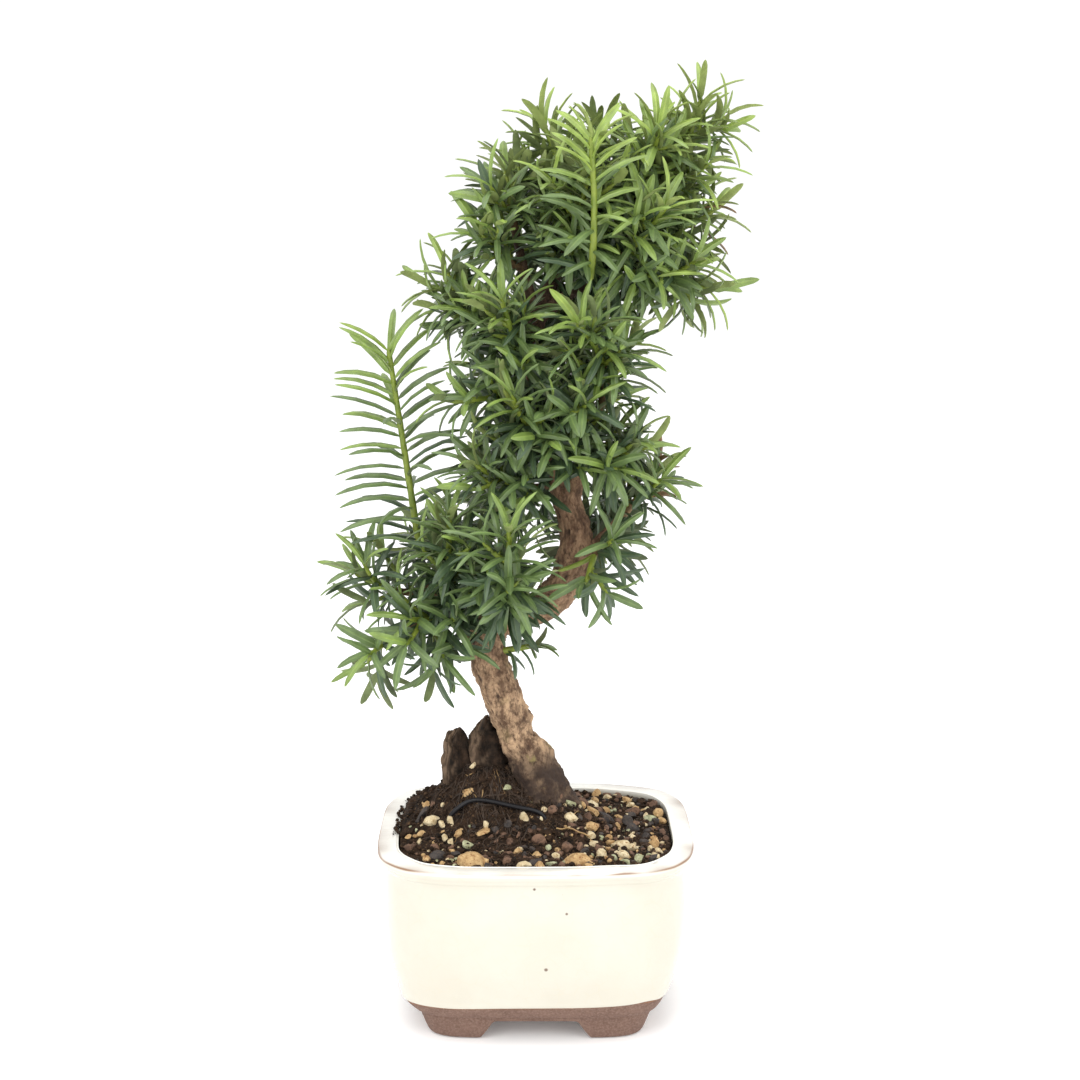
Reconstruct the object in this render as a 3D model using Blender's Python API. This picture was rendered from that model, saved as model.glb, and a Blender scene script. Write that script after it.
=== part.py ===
# Potted hybrid yew: a small curved conifer with its old root stump and gravelled soil,
# in a cream glazed pot on four feet. Metres, +Z up. The origin is on the ground under
# the middle of the pot, and the front of the plant faces -Y.

import math
import random

import bmesh
import bpy
import numpy as np
from mathutils import Matrix, Vector, noise

MM = 0.001
GAP = 0.3 * MM
UP = Vector((0.0, 0.0, 1.0))
GOLDEN_TURN = math.radians(137.5)

# Pot. Each ring is height, half width and squareness of the plan, in millimetres.
POT_SIDES = 32
POT_NARROWER = 8.0 * MM
POT_FOOT_DEEPER = 3.2 * MM
POT_FOOT_ZONE = 20.0 * MM
POT_FOOT_HEIGHT = 8.6 * MM
POT_OUTSIDE = (
    (0.0, 43.8, 6.6),
    (1.4, 45.6, 6.6),
    (8.0, 48.5, 6.0),
    (10.6, 49.8, 5.8),
    (11.3, 51.6, 5.8),
    (15.0, 54.6, 5.4),
    (20.0, 57.3, 4.8),
    (33.0, 60.9, 4.3),
    (47.0, 62.8, 4.0),
    (60.0, 63.2, 4.0),
    (69.5, 62.8, 4.0),
    (72.0, 63.8, 4.0),
    (74.5, 65.3, 4.0),
    (76.4, 65.2, 4.0),
    (77.0, 64.2, 4.0),
)
POT_INSIDE = (
    (77.0, 57.4, 4.2),
    (75.5, 56.4, 4.2),
    (60.0, 56.2, 4.2),
    (33.0, 53.6, 4.2),
    (20.0, 49.0, 4.4),
    (14.2, 43.0, 4.6),
)
NOTCH_HALF_WIDTH = {"front_to_back": 16.0 * MM, "side_to_side": 11.5 * MM}
NOTCH_FLARE = 6.8 * MM
POCKET_HALF_WIDTH = 37.0 * MM
DRAIN_RADIUS = 6.0 * MM
DRAIN_OFFSET = 22.0 * MM

# Soil. A hump of matted roots stands left of the trunk, and the bed is lower to the back right.
SOIL_RINGS = 8
SOIL_LEVEL = 74.7 * MM
SOIL_DIP = 0.1 * MM
SOIL_HUMPS = (
    # right, back, height, spread right, spread back in millimetres
    (-20.0, 0.5, 26.5, 13.5, 11.5),
    (-40.0, 15.0, 11.0, 12.5, 18.0),
    (9.0, 2.0, 14.5, 12.0, 14.5),
)
SOIL_BUMP = 1.3 * MM
SOIL_BUMP_SPACING = 8.0 * MM
STONES = {
    # right, back, half length in millimetres
    "stone_front_left": (-25.5, -40.0, 6.5),
    "stone_front_right": (17.0, -40.0, 5.8),
    "stone_right": (35.0, -21.0, 3.9),
    "stone_right_back": (49.0, 12.0, 3.6),
    "stone_middle": (22.5, -11.5, 3.6),
    "stone_left": (-43.0, -11.0, 3.5),
}
STONE_FLATNESS = (1.0, 0.72, 0.62)
STONE_RISE = 0.12
STONE_WEAR = 0.16

# Anchor wire across the root mat, both ends pushed into the soil
WIRE_RADIUS = 1.0 * MM
WIRE_ROUTE = (
    (-36.0, -12.6, 83.5),
    (-33.6, -12.9, 87.3),
    (-27.4, -12.5, 91.6),
    (-20.5, -12.6, 92.0),
    (-8.1, -13.6, 89.6),
    (-1.0, -13.2, 87.9),
    (3.0, -12.8, 85.5),
    (5.5, -13.2, 81.5),
)

# Old root stump beside the trunk: two worn knobs. Right, back, up, radius, and how much
# taller than wide.
STUMP_KNOBS = (
    (-33.0, 5.0, 102.5, 7.0, 2.15),
    (-19.5, 6.0, 107.0, 9.8, 1.5),
)
KNOB_WEAR = 0.14
STUMP_FLOOR = 88.0 * MM

# Trunk. Each knot is right, back, up and radius in millimetres, from the root flare to the tip.
TRUNK_KNOTS = (
    (4.4, 2.0, 84.0, 13.2),
    (3.8, 2.0, 87.0, 12.0),
    (1.6, 2.0, 95.5, 9.9),
    (-3.2, 1.0, 108.0, 8.5),
    (-6.7, 0.7, 113.0, 7.5),
    (-8.5, 0.5, 117.5, 7.1),
    (-13.2, -0.5, 132.0, 7.9),
    (-17.4, -1.0, 143.0, 7.6),
    (-20.0, -2.0, 153.0, 7.3),
    (-18.0, -2.0, 163.0, 6.8),
    (-9.0, -2.0, 168.0, 6.4),
    (4.0, -1.0, 172.5, 6.6),
    (13.0, 0.0, 183.0, 7.0),
    (16.5, 1.0, 200.0, 6.4),
    (10.5, 2.0, 221.0, 5.0),
    (2.5, 3.0, 247.0, 4.3),
    (-0.5, 3.0, 279.0, 3.4),
    (3.0, 3.0, 295.0, 2.8),
    (9.0, 2.0, 311.0, 2.0),
)
TRUNK_STEPS_PER_SPAN = 2
FLARE_TOP = 100.0 * MM
FLARE_LOBES = 3
FLARE_DEPTH = 0.16

# Boughs: the limb each grows from, the place on it (a height in millimetres on the trunk,
# a share of the length on a bough), its tip, its radius at root and tip, and its sag.
BOUGHS = {
    "bough_left": ("trunk", 157.0, (-46.0, 2.0, 180.0), 4.2, 2.2, 0.10),
    "bough_left_low": ("bough_left", 0.45, (-53.0, -7.0, 162.0), 2.2, 1.7, -0.12),
    "bough_right_low": ("trunk", 190.0, (34.0, -3.0, 208.0), 2.8, 1.7, 0.10),
    "bough_right": ("trunk", 211.0, (25.5, -10.0, 254.0), 3.0, 1.8, -0.10),
    "bough_left_middle": ("trunk", 241.0, (-14.0, -3.0, 282.0), 2.6, 1.7, 0.12),
    "bough_crown_left": ("trunk", 288.0, (-8.0, -3.0, 324.0), 2.2, 1.6, 0.10),
    "bough_crown_right": ("trunk", 291.0, (42.0, 2.0, 326.0), 2.6, 1.7, 0.12),
    "bough_crown_back": ("trunk", 298.0, (20.0, 27.0, 332.0), 2.2, 1.6, 0.12),
    "bough_back": ("trunk", 228.0, (3.0, 31.0, 256.0), 2.8, 1.7, 0.12),
    "bough_back_low": ("trunk", 165.0, (-20.0, 33.0, 190.0), 3.0, 1.8, 0.12),
}
BOUGH_STEPS = 6
STRAIGHT_ON_SHARE = 0.45

# Foliage masses: the limb each stem grows from, the place on it, the stem's tip and its sag.
MASSES = {
    "crown_right_leader": ("bough_crown_right", 1.0, (64.5, 0.0, 374.5), 0.0),
    "crown_right_inner": ("bough_crown_right", 0.80, (47.0, -9.0, 364.0), 0.10),
    "crown_front_center": ("trunk", 303.0, (23.0, -25.0, 358.0), 0.25),
    "crown_leader": ("trunk", "tip", (2.5, 2.0, 366.0), 0.0),
    "crown_left_outer": ("bough_crown_left", 1.0, (-12.0, -5.0, 347.0), 0.0),
    "crown_left_low": ("bough_crown_left", 0.62, (-21.5, -14.0, 323.0), 0.15),
    "crown_right_front": ("bough_crown_right", 0.50, (50.0, -31.0, 334.0), 0.15),
    "crown_right_side": ("bough_crown_right", 0.88, (71.0, 5.0, 331.0), 0.15),
    "crown_right_low": ("bough_crown_right", 0.68, (70.0, -7.0, 300.0), 0.0),
    "crown_right_under": ("bough_crown_right", 0.38, (24.0, 4.0, 297.0), -0.20),
    "crown_back_top": ("bough_crown_back", 1.0, (28.0, 36.0, 364.0), 0.0),
    "crown_back_right": ("bough_crown_back", 0.72, (53.0, 42.0, 336.0), 0.15),
    "crown_back_left": ("bough_crown_back", 0.52, (-8.0, 41.0, 343.0), 0.15),
    "crown_back_low": ("trunk", 282.0, (22.0, 45.0, 308.0), 0.20),
    "middle_left_front": ("trunk", 268.0, (-13.0, -34.0, 299.0), 0.20),
    "middle_right_front": ("bough_right", 1.0, (15.5, -40.0, 290.0), 0.0),
    "middle_front": ("trunk", 226.0, (18.0, -30.0, 268.0), 0.15),
    "middle_front_left": ("trunk", 236.0, (-9.0, -34.0, 262.0), 0.15),
    "left_shoulder": ("bough_left_middle", 1.0, (-42.5, -4.0, 302.0), 0.0),
    "middle_left": ("bough_left_middle", 0.60, (-26.0, -23.0, 259.5), 0.15),
    "middle_left_low": ("trunk", 222.0, (-24.0, -25.0, 234.0), 0.20),
    "middle_right": ("bough_right", 0.80, (19.0, 6.0, 266.0), 0.15),
    "middle_right_low": ("bough_right", 0.50, (38.0, -26.0, 242.0), 0.20),
    "middle_back_left": ("bough_back", 0.78, (-25.0, 37.0, 268.0), 0.15),
    "middle_back_right": ("bough_back", 0.55, (27.0, 38.0, 256.0), 0.20),
    "middle_back": ("bough_back", 1.0, (2.0, 47.0, 285.0), 0.0),
    "long_left_shoot": ("bough_left", 0.97, (-59.0, 0.0, 277.5), 0.0),
    "low_front": ("trunk", 167.0, (-10.0, -47.0, 212.0), 0.25),
    "low_left_inner": ("bough_left", 0.62, (-34.0, -26.0, 214.0), 0.20),
    "low_left_front": ("bough_left_low", 0.25, (-50.0, -27.0, 172.0), 0.0),
    "low_left": ("bough_left", 0.86, (-74.0, -7.0, 187.0), 0.15),
    "low_left_hanging": ("bough_left_low", 0.93, (-68.5, -12.0, 150.0), -0.40),
    "low_left_under": ("bough_left_low", 0.50, (-37.0, -19.0, 154.0), -0.10),
    "low_right": ("bough_right_low", 1.0, (49.0, -6.0, 227.0), 0.0),
    "low_right_front": ("bough_right_low", 0.60, (20.0, -25.0, 186.0), -0.10),
    "low_back_left": ("bough_back_low", 0.75, (-48.0, 40.0, 194.0), 0.15),
    "low_back": ("bough_back_low", 1.0, (-12.0, 45.5, 218.0), 0.0),
    "low_back_right": ("trunk", 196.0, (32.0, 37.0, 206.0), 0.15),
    "bend_sprig": ("trunk", 152.0, (1.0, -9.0, 157.0), 0.0),
}
STEM_STEPS = 5
STEM_RADIUS = 1.5 * MM
STEM_TIP_RADIUS = 0.8 * MM
TWIG_RADIUS = 1.0 * MM
TWIG_TIP_RADIUS = 0.6 * MM
TWIG_SPACING = 25.0 * MM
TWIG_REACH = (15.5 * MM, 20.0 * MM)
TWIG_ANGLE = math.radians(46.0)
BARE_STEMS = ("long_left_shoot", "bend_sprig")
NEEDLE_SHARES = {
    "bend_sprig": 0.6,
    "long_left_shoot": 1.36,
    "middle_left": 0.88,
    "middle_right": 0.82,
    "middle_back_left": 0.82,
    "middle_back_right": 0.82,
    "low_left_hanging": 0.92,
}
FLAT_SHOOTS = {"long_left_shoot": 0.4}
NEEDLE_LENGTH = 25.5 * MM
NEEDLE_SHORTEST_SHARE = 0.84
NEEDLE_SHORTER_AT_TIP = 0.28
NEEDLE_WIDTH = 6.2 * MM
NEEDLE_THICKNESS = 0.9 * MM
NEEDLE_BROAD_AT = 0.5
NEEDLE_SPACING = 5.4 * MM
NEEDLE_ANGLE_LOW = math.radians(72.0)
NEEDLE_ANGLE_TIP = math.radians(34.0)
NEEDLE_DROOP = 0.09

# A mass keeps what is nearer its own stem than any other by this margin, clear of all limbs.
SPACE_MARGIN = 3.0 * MM
LIMB_MARGIN = 2.6 * MM
ROOM_SHARES = (1.0, 0.8, 0.6)
ROOM_TEST_SHARES = (0.35, 0.6, 0.8, 1.0)


def clear_scene():
    for piece in list(bpy.data.objects):
        bpy.data.objects.remove(piece)


def new_collection(name):
    group = bpy.data.collections.new(name)
    bpy.context.scene.collection.children.link(group)
    return group


def new_finish(name, colour, roughness, metallic=0.0):
    finish = bpy.data.materials.new(name)
    finish.use_nodes = True
    shader = finish.node_tree.nodes["Principled BSDF"]
    shader.inputs["Base Color"].default_value = (*colour, 1.0)
    shader.inputs["Roughness"].default_value = roughness
    shader.inputs["Metallic"].default_value = metallic
    finish.diffuse_color = (*colour, 1.0)
    return finish


def add_shape(name, shape, finish, group):
    """Makes an object from a bmesh and puts it in a collection."""
    bmesh.ops.recalc_face_normals(shape, faces=shape.faces)
    mesh = bpy.data.meshes.new(name)
    shape.to_mesh(mesh)
    shape.free()
    mesh.materials.append(finish)
    piece = bpy.data.objects.new(name, mesh)
    group.objects.link(piece)
    return piece


def apply_boolean(piece, operation, other, solver="EXACT"):
    """Joins to the piece, or cuts from it, one object or all those of a collection."""
    change = piece.modifiers.new(operation, "BOOLEAN")
    change.operation = operation
    change.solver = solver
    if isinstance(other, bpy.types.Collection):
        change.operand_type = "COLLECTION"
        change.collection = other
    else:
        change.object = other
    bpy.context.view_layer.update()
    graph = bpy.context.evaluated_depsgraph_get()
    before = piece.data
    piece.data = bpy.data.meshes.new_from_object(piece.evaluated_get(graph))
    piece.data.name = piece.name
    piece.modifiers.clear()
    bpy.data.meshes.remove(before)


def empty_collection(group):
    for piece in list(group.objects):
        bpy.data.objects.remove(piece)


def drop_scraps(piece):
    """Keeps only the body with the most faces, bodies being faces joined at their edges."""
    shape = bmesh.new()
    shape.from_mesh(piece.data)
    bmesh.ops.remove_doubles(shape, verts=shape.verts, dist=0.002 * MM)
    bmesh.ops.dissolve_degenerate(shape, edges=shape.edges, dist=0.002 * MM)
    waiting = set(shape.faces)
    bodies = []
    while waiting:
        body = {waiting.pop()}
        front = list(body)
        while front:
            beside = {face for edge in front.pop().edges for face in edge.link_faces}
            fresh = beside & waiting
            waiting -= fresh
            body |= fresh
            front.extend(fresh)
        bodies.append(body)
    largest = max(bodies, key=len)
    spare = [face for body in bodies if body is not largest for face in body]
    bmesh.ops.delete(shape, geom=spare, context="FACES")
    shape.to_mesh(piece.data)
    shape.free()


def shade(piece, degrees):
    piece.data.shade_smooth()
    piece.data.set_sharp_from_angle(angle=math.radians(degrees))


# Lofted shapes of the pot and the soil


def plan_ring(half_width, squareness, count, narrower=POT_NARROWER):
    """Points of a rounded rectangle, a superellipse a little narrower from front to back."""
    half_depth = half_width - narrower
    ring = []
    for step in range(count):
        turn = 2.0 * math.pi * step / count
        right = math.cos(turn)
        back = math.sin(turn)
        power = 2.0 / squareness
        x = half_width * math.copysign(abs(right) ** power, right)
        y = half_depth * math.copysign(abs(back) ** power, back)
        ring.append(Vector((x, y, 0.0)))
    return ring


def loft(rings):
    """A closed skin through rings of equal count, with flat ends."""
    shape = bmesh.new()
    levels = [[shape.verts.new(point) for point in ring] for ring in rings]
    count = len(levels[0])
    for lower, upper in zip(levels, levels[1:]):
        for step in range(count):
            after = (step + 1) % count
            shape.faces.new((lower[step], lower[after], upper[after], upper[step]))
    shape.faces.new(list(reversed(levels[0])))
    shape.faces.new(levels[-1])
    return shape


def lifted(ring, height):
    return [Vector((point.x, point.y, height)) for point in ring]


def make_pot(group, finish):
    rings = []
    for height, half_width, squareness in POT_OUTSIDE:
        deeper = POT_FOOT_DEEPER * max(0.0, 1.0 - height * MM / POT_FOOT_ZONE)
        ring = plan_ring(half_width * MM, squareness, POT_SIDES, POT_NARROWER - deeper)
        rings.append(lifted(ring, height * MM))
    for height, half_width, squareness in POT_INSIDE:
        rings.append(lifted(plan_ring(half_width * MM, squareness, POT_SIDES), height * MM))
    pot = add_shape("pot", loft(rings), finish, group)
    cut_group = new_collection("pot_cutters")
    for side, half_width in NOTCH_HALF_WIDTH.items():
        notch = bmesh.new()
        bmesh.ops.create_cube(notch, size=2.0)
        for vertex in notch.verts:
            flare = NOTCH_FLARE if vertex.co.z < 0 else 0.0
            across = vertex.co.x * (half_width + flare)
            along = vertex.co.y * POT_OUTSIDE[-1][1] * 2 * MM
            height = POT_FOOT_HEIGHT if vertex.co.z > 0 else -GAP
            if side == "front_to_back":
                vertex.co = Vector((across, along, height))
            else:
                vertex.co = Vector((along, across, height))
        add_shape("notch_" + side, notch, finish, cut_group)
    pocket_ring = plan_ring(POCKET_HALF_WIDTH, 5.0, POT_SIDES)
    pocket = loft([lifted(pocket_ring, -GAP), lifted(pocket_ring, POT_FOOT_HEIGHT)])
    add_shape("pocket", pocket, finish, cut_group)
    for side in (-1, 1):
        drain = bmesh.new()
        place = Matrix.Translation((side * DRAIN_OFFSET, 0.0, POT_FOOT_HEIGHT))
        bmesh.ops.create_cone(
            drain,
            cap_ends=True,
            segments=20,
            radius1=DRAIN_RADIUS,
            radius2=DRAIN_RADIUS,
            depth=POT_FOOT_HEIGHT * 2,
            matrix=place,
        )
        add_shape("drain", drain, finish, cut_group)
    apply_boolean(pot, "DIFFERENCE", cut_group)
    drop_scraps(pot)
    empty_collection(cut_group)
    bpy.data.collections.remove(cut_group)
    shade(pot, 35)
    return pot


def soil_height(x, y):
    height = SOIL_LEVEL
    for right, back, rise, spread_right, spread_back in SOIL_HUMPS:
        away = ((x / MM - right) / spread_right) ** 2 + ((y / MM - back) / spread_back) ** 2
        height += rise * MM * math.exp(-0.5 * away)
    half = POT_INSIDE[1][1] * MM
    height -= SOIL_DIP * max(0.0, (x + y) / half)
    place = Vector((x, y, 0.0)) / SOIL_BUMP_SPACING
    return height + SOIL_BUMP * noise.noise(place)


def make_soil(group, finish):
    rings = []
    for height, half_width, squareness in reversed(POT_INSIDE[2:]):
        level = max(height, POT_INSIDE[-1][0]) * MM
        ring = plan_ring(half_width * MM - GAP, squareness, POT_SIDES)
        if not rings:
            level += GAP
        rings.append(lifted(ring, level))
    _, rim, squareness = POT_INSIDE[2]
    for step in range(SOIL_RINGS):
        share = 1.0 - step / SOIL_RINGS
        ring = []
        for point in plan_ring(rim * MM - GAP, squareness, POT_SIDES):
            x = point.x * share
            y = point.y * share
            ring.append(Vector((x, y, soil_height(x, y))))
        rings.append(ring)
    soil = add_shape("soil", loft(rings), finish, group)
    return soil


# Limbs


def smooth_path(knots, steps):
    """Points and radii on a smooth curve through knots of right, back, up and radius."""
    ends = [knots[0]] + list(knots) + [knots[-1]]
    values = [np.array(knot, float) * MM for knot in ends]
    path = []
    for start in range(1, len(values) - 2):
        before, here, after, beyond = values[start - 1 : start + 3]
        for step in range(steps):
            t = step / steps
            blend = 2 * here + (after - before) * t
            blend += (2 * before - 5 * here + 4 * after - beyond) * t**2
            blend += (3 * here - before - 3 * after + beyond) * t**3
            path.append(blend / 2)
    path.append(values[-2])
    points = [Vector(value[:3]) for value in path]
    radii = [float(value[3]) for value in path]
    return points, radii


def arc(start, bend, tip, steps):
    points = []
    for step in range(steps + 1):
        t = step / steps
        points.append(start * (1 - t) ** 2 + bend * 2 * t * (1 - t) + tip * t**2)
    return points


def make_tube(name, points, radii, resolution, finish, group):
    """A round limb as one closed mesh: a bevelled curve, its caps welded on."""
    curve = bpy.data.curves.new(name, "CURVE")
    curve.dimensions = "3D"
    curve.bevel_depth = 1.0
    curve.bevel_resolution = resolution
    curve.use_fill_caps = True
    line = curve.splines.new("POLY")
    line.points.add(len(points) - 1)
    for knot, point, radius in zip(line.points, points, radii):
        knot.co = (*point, 1.0)
        knot.radius = radius
    guide = bpy.data.objects.new(name + "_guide", curve)
    group.objects.link(guide)
    bpy.context.view_layer.update()
    graph = bpy.context.evaluated_depsgraph_get()
    mesh = bpy.data.meshes.new_from_object(guide.evaluated_get(graph))
    bpy.data.objects.remove(guide)
    shape = bmesh.new()
    shape.from_mesh(mesh)
    bpy.data.meshes.remove(mesh)
    bmesh.ops.remove_doubles(shape, verts=shape.verts, dist=0.001 * MM)
    return add_shape(name, shape, finish, group)


def make_trunk(name, limb, extra, finish, group):
    """The trunk, thicker all round by extra, with its lobed root flare and flat foot."""
    points, radii = limb["points"], limb["radii"]
    foot = points[0] - UP * extra
    above = Vector((foot.x, foot.y, points[1].z))
    upright = [foot, above] + points[2:]
    trunk = make_tube(name, upright, [radius + extra for radius in radii], 3, finish, group)
    for vertex in trunk.data.vertices:
        rise = (FLARE_TOP - vertex.co.z) / (FLARE_TOP - foot.z)
        if rise <= 0:
            continue
        middle = foot.lerp(points[3], 1 - rise)
        across = vertex.co - middle
        turn = math.atan2(across.y, across.x)
        lobe = FLARE_DEPTH * rise**2 * math.cos(FLARE_LOBES * turn)
        vertex.co.x += across.x * lobe
        vertex.co.y += across.y * lobe
    return trunk


def place_on(limbs, limb_name, at):
    """The point and heading at a height on the trunk, or at a share of a bough's length."""
    points = limbs[limb_name]["points"]
    if at in ("tip", 1.0):
        return points[-1], (points[-1] - points[-2]).normalized()
    if limb_name == "trunk":
        for low, high in zip(points, points[1:]):
            if low.z <= at * MM <= high.z:
                share = (at * MM - low.z) / (high.z - low.z)
                return low.lerp(high, share), (high - low).normalized()
    place = at * (len(points) - 1)
    low = min(int(place), len(points) - 2)
    heading = (points[low + 1] - points[low]).normalized()
    return points[low].lerp(points[low + 1], place - low), heading


def grow_path(limbs, limb_name, at, tip, sag, steps):
    """A limb or stem that leaves its parent and bends to its tip."""
    start, heading = place_on(limbs, limb_name, at)
    tip = Vector(tip) * MM
    reach = (tip - start).length
    if at in ("tip", 1.0):
        start = start + heading * GAP
        return arc(start, start + heading * reach * STRAIGHT_ON_SHARE, tip, steps)
    return arc(start, (start + tip) / 2 - UP * reach * sag, tip, steps)


def tapered(first, last, count):
    return [first + (last - first) * step / (count - 1) for step in range(count)]


def cut_at_parent(piece, limbs, limb_name, at, cutters):
    """Ends a piece at its parent's bark, a gap clear of it."""
    if at in ("tip", 1.0):
        return
    parent = limbs[limb_name]
    if "cutter" not in parent:
        radii = [radius + GAP for radius in parent["radii"]]
        parent["cutter"] = make_tube(
            limb_name + "_cutter", parent["points"], radii, 3, piece.data.materials[0], cutters
        )
    apply_boolean(piece, "DIFFERENCE", parent["cutter"])


# Foliage


def along(path, share):
    """The point and heading at a share of the length of a path."""
    lengths = [(b - a).length for a, b in zip(path, path[1:])]
    left = share * sum(lengths)
    for step, length in enumerate(lengths):
        if left <= length or step == len(lengths) - 1:
            heading = (path[step + 1] - path[step]).normalized()
            return path[step] + heading * left, heading
        left -= length


def spread(heading, turn, angle, flat=1.0):
    """A direction at an angle to the heading, turned round it, or more to left and right."""
    side = heading.orthogonal().normalized()
    side.rotate(Matrix.Rotation(turn, 3, heading))
    side = Vector((side.x, side.y * flat, side.z)).normalized()
    return (heading * math.cos(angle) + side * math.sin(angle)).normalized()


class Crown:
    """The spaces of the masses: each holds what is nearer its own stem than any other."""

    def __init__(self, stems, limbs):
        self.names = list(stems)
        self.points = {name: self.dense(stem) for name, stem in stems.items()}
        self.limb_points = []
        for limb in limbs.values():
            radii = limb["radii"]
            for place, point in enumerate(self.dense(limb["points"], 12)):
                radius = radii[min(place // 12, len(radii) - 1)]
                self.limb_points.append((*point, radius))
        self.limb_points = np.array(self.limb_points)

    def dense(self, path, steps=8):
        points = []
        for low, high in zip(path, path[1:]):
            for step in range(steps):
                points.append(tuple(low.lerp(high, step / steps)))
        points.append(tuple(path[-1]))
        return np.array(points)

    def holds(self, name, point):
        place = np.array(point)
        bark = np.linalg.norm(self.limb_points[:, :3] - place, axis=1) - self.limb_points[:, 3]
        if bark.min() < LIMB_MARGIN:
            return False
        own = np.linalg.norm(self.points[name] - place, axis=1).min()
        for other in self.names:
            if other == name:
                continue
            if np.linalg.norm(self.points[other] - place, axis=1).min() < own + SPACE_MARGIN:
                return False
        return True

    def room_for(self, name, start, tip):
        """How much of a line fits in the mass's space: all, four fifths, three fifths or none."""
        for share in ROOM_SHARES:
            end = start.lerp(tip, share)
            if all(self.holds(name, start.lerp(end, part)) for part in ROOM_TEST_SHARES):
                return share
        return 0.0


def make_needle(start, direction, upper, length, finish, group):
    """A flat pointed needle: an octahedron drawn out, its broad part low and its tip drooping."""
    across = direction.cross(upper).normalized()
    face = across.cross(direction).normalized()
    shape = bmesh.new()
    bmesh.ops.create_uvsphere(shape, u_segments=4, v_segments=2, radius=1.0)
    for vertex in shape.verts:
        unit = vertex.co.copy()
        if unit.z < -0.5:
            vertex.co = start
        elif unit.z > 0.5:
            vertex.co = start + direction * length - face * length * NEEDLE_DROOP
        else:
            middle = start + direction * length * NEEDLE_BROAD_AT
            middle += face * length * NEEDLE_DROOP / 2
            wide = across * unit.x * NEEDLE_WIDTH / 2
            vertex.co = middle + wide + face * unit.y * NEEDLE_THICKNESS / 2
    return add_shape("needle", shape, finish, group)


def needle_places(path, spacing, chance, phase, flat):
    """Start, direction, upper side and length of each needle in a spiral up a path."""
    taper = 3 if flat == 1.0 else 1
    length = sum((b - a).length for a, b in zip(path, path[1:]))
    count = max(3, round(length / spacing))
    places = []
    for step in range(count):
        share = min((step + 0.8) / count, 0.98)
        point, heading = along(path, share)
        angle = NEEDLE_ANGLE_LOW + (NEEDLE_ANGLE_TIP - NEEDLE_ANGLE_LOW) * share**1.5
        direction = spread(heading, phase + step * GOLDEN_TURN, angle, flat)
        size = NEEDLE_LENGTH * chance.uniform(NEEDLE_SHORTEST_SHARE, 1.0)
        size *= 1.0 - NEEDLE_SHORTER_AT_TIP * share**taper
        places.append((point, direction, heading, size))
    return places


def twig_paths(name, stem, crown, chance, phase):
    """Straight side twigs that leave the stem by the same spiral and keep to the mass's space."""
    length = sum((b - a).length for a, b in zip(stem, stem[1:]))
    twigs = []
    count = round(length / TWIG_SPACING)
    for step in range(count):
        share = (step + 1.0) / (count + 1.0)
        point, heading = along(stem, share)
        direction = spread(heading, phase + step * GOLDEN_TURN, TWIG_ANGLE)
        reach = chance.uniform(*TWIG_REACH)
        room = crown.room_for(name, point, point + direction * reach)
        if room > 0.0:
            twigs.append([point, point + direction * reach * room])
    return twigs


def make_twig(path, finish, group):
    start, tip = path
    direction = tip - start
    shape = bmesh.new()
    turned = direction.to_track_quat("Z", "Y").to_matrix().to_4x4()
    place = Matrix.Translation((start + tip) / 2) @ turned
    bmesh.ops.create_cone(
        shape,
        cap_ends=True,
        segments=3,
        radius1=TWIG_RADIUS,
        radius2=TWIG_TIP_RADIUS,
        depth=direction.length,
        matrix=place,
    )
    add_shape("twig", shape, finish, group)


def make_mass(name, stem, crown, limbs, finish, group, cutters):
    """One foliage mass: a stem, its side twigs and their needles, all fused together."""
    limb_name, at, _, _ = MASSES[name]
    chance = random.Random(name)
    phase = chance.uniform(0, 2 * math.pi)
    sprays = new_collection("sprays")
    radii = tapered(STEM_RADIUS, STEM_TIP_RADIUS, len(stem))
    mass = make_tube(name, stem, radii, 0, finish, group)
    twigs = [] if name in BARE_STEMS else twig_paths(name, stem, crown, chance, phase)
    for twig in twigs:
        make_twig(twig, finish, sprays)
    for path in [stem] + twigs:
        flat = FLAT_SHOOTS.get(name, 1.0)
        places = needle_places(path, NEEDLE_SPACING, chance, phase, flat)
        for point, direction, heading, size in places:
            size *= NEEDLE_SHARES.get(name, 1.0)
            share = crown.room_for(name, point, point + direction * size)
            if share > 0.0:
                make_needle(point, direction, heading, size * share, finish, sprays)
    apply_boolean(mass, "UNION", sprays)
    cut_at_parent(mass, limbs, limb_name, at, cutters)
    drop_scraps(mass)
    empty_collection(sprays)
    bpy.data.collections.remove(sprays)
    return mass


# Things on the soil


def make_stone(stone, name, extra, finish, group):
    right, back, half_length = STONES[stone]
    chance = random.Random(stone)
    shape = bmesh.new()
    bmesh.ops.create_icosphere(shape, subdivisions=2, radius=1.0)
    size = half_length * MM
    stretch = Vector([size * share + extra for share in STONE_FLATNESS])
    turn = Matrix.Rotation(chance.uniform(-0.5, 0.5), 3, "Z")
    middle = Vector((right * MM, back * MM, 0.0))
    middle.z = soil_height(middle.x, middle.y) + size * STONE_RISE
    for vertex in shape.verts:
        worn = 1.0 + STONE_WEAR * noise.noise(vertex.co * 1.4 + Vector((right, back, 0.0)))
        vertex.co = middle + turn @ (vertex.co * stretch * worn)
    return add_shape(name, shape, finish, group)


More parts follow.
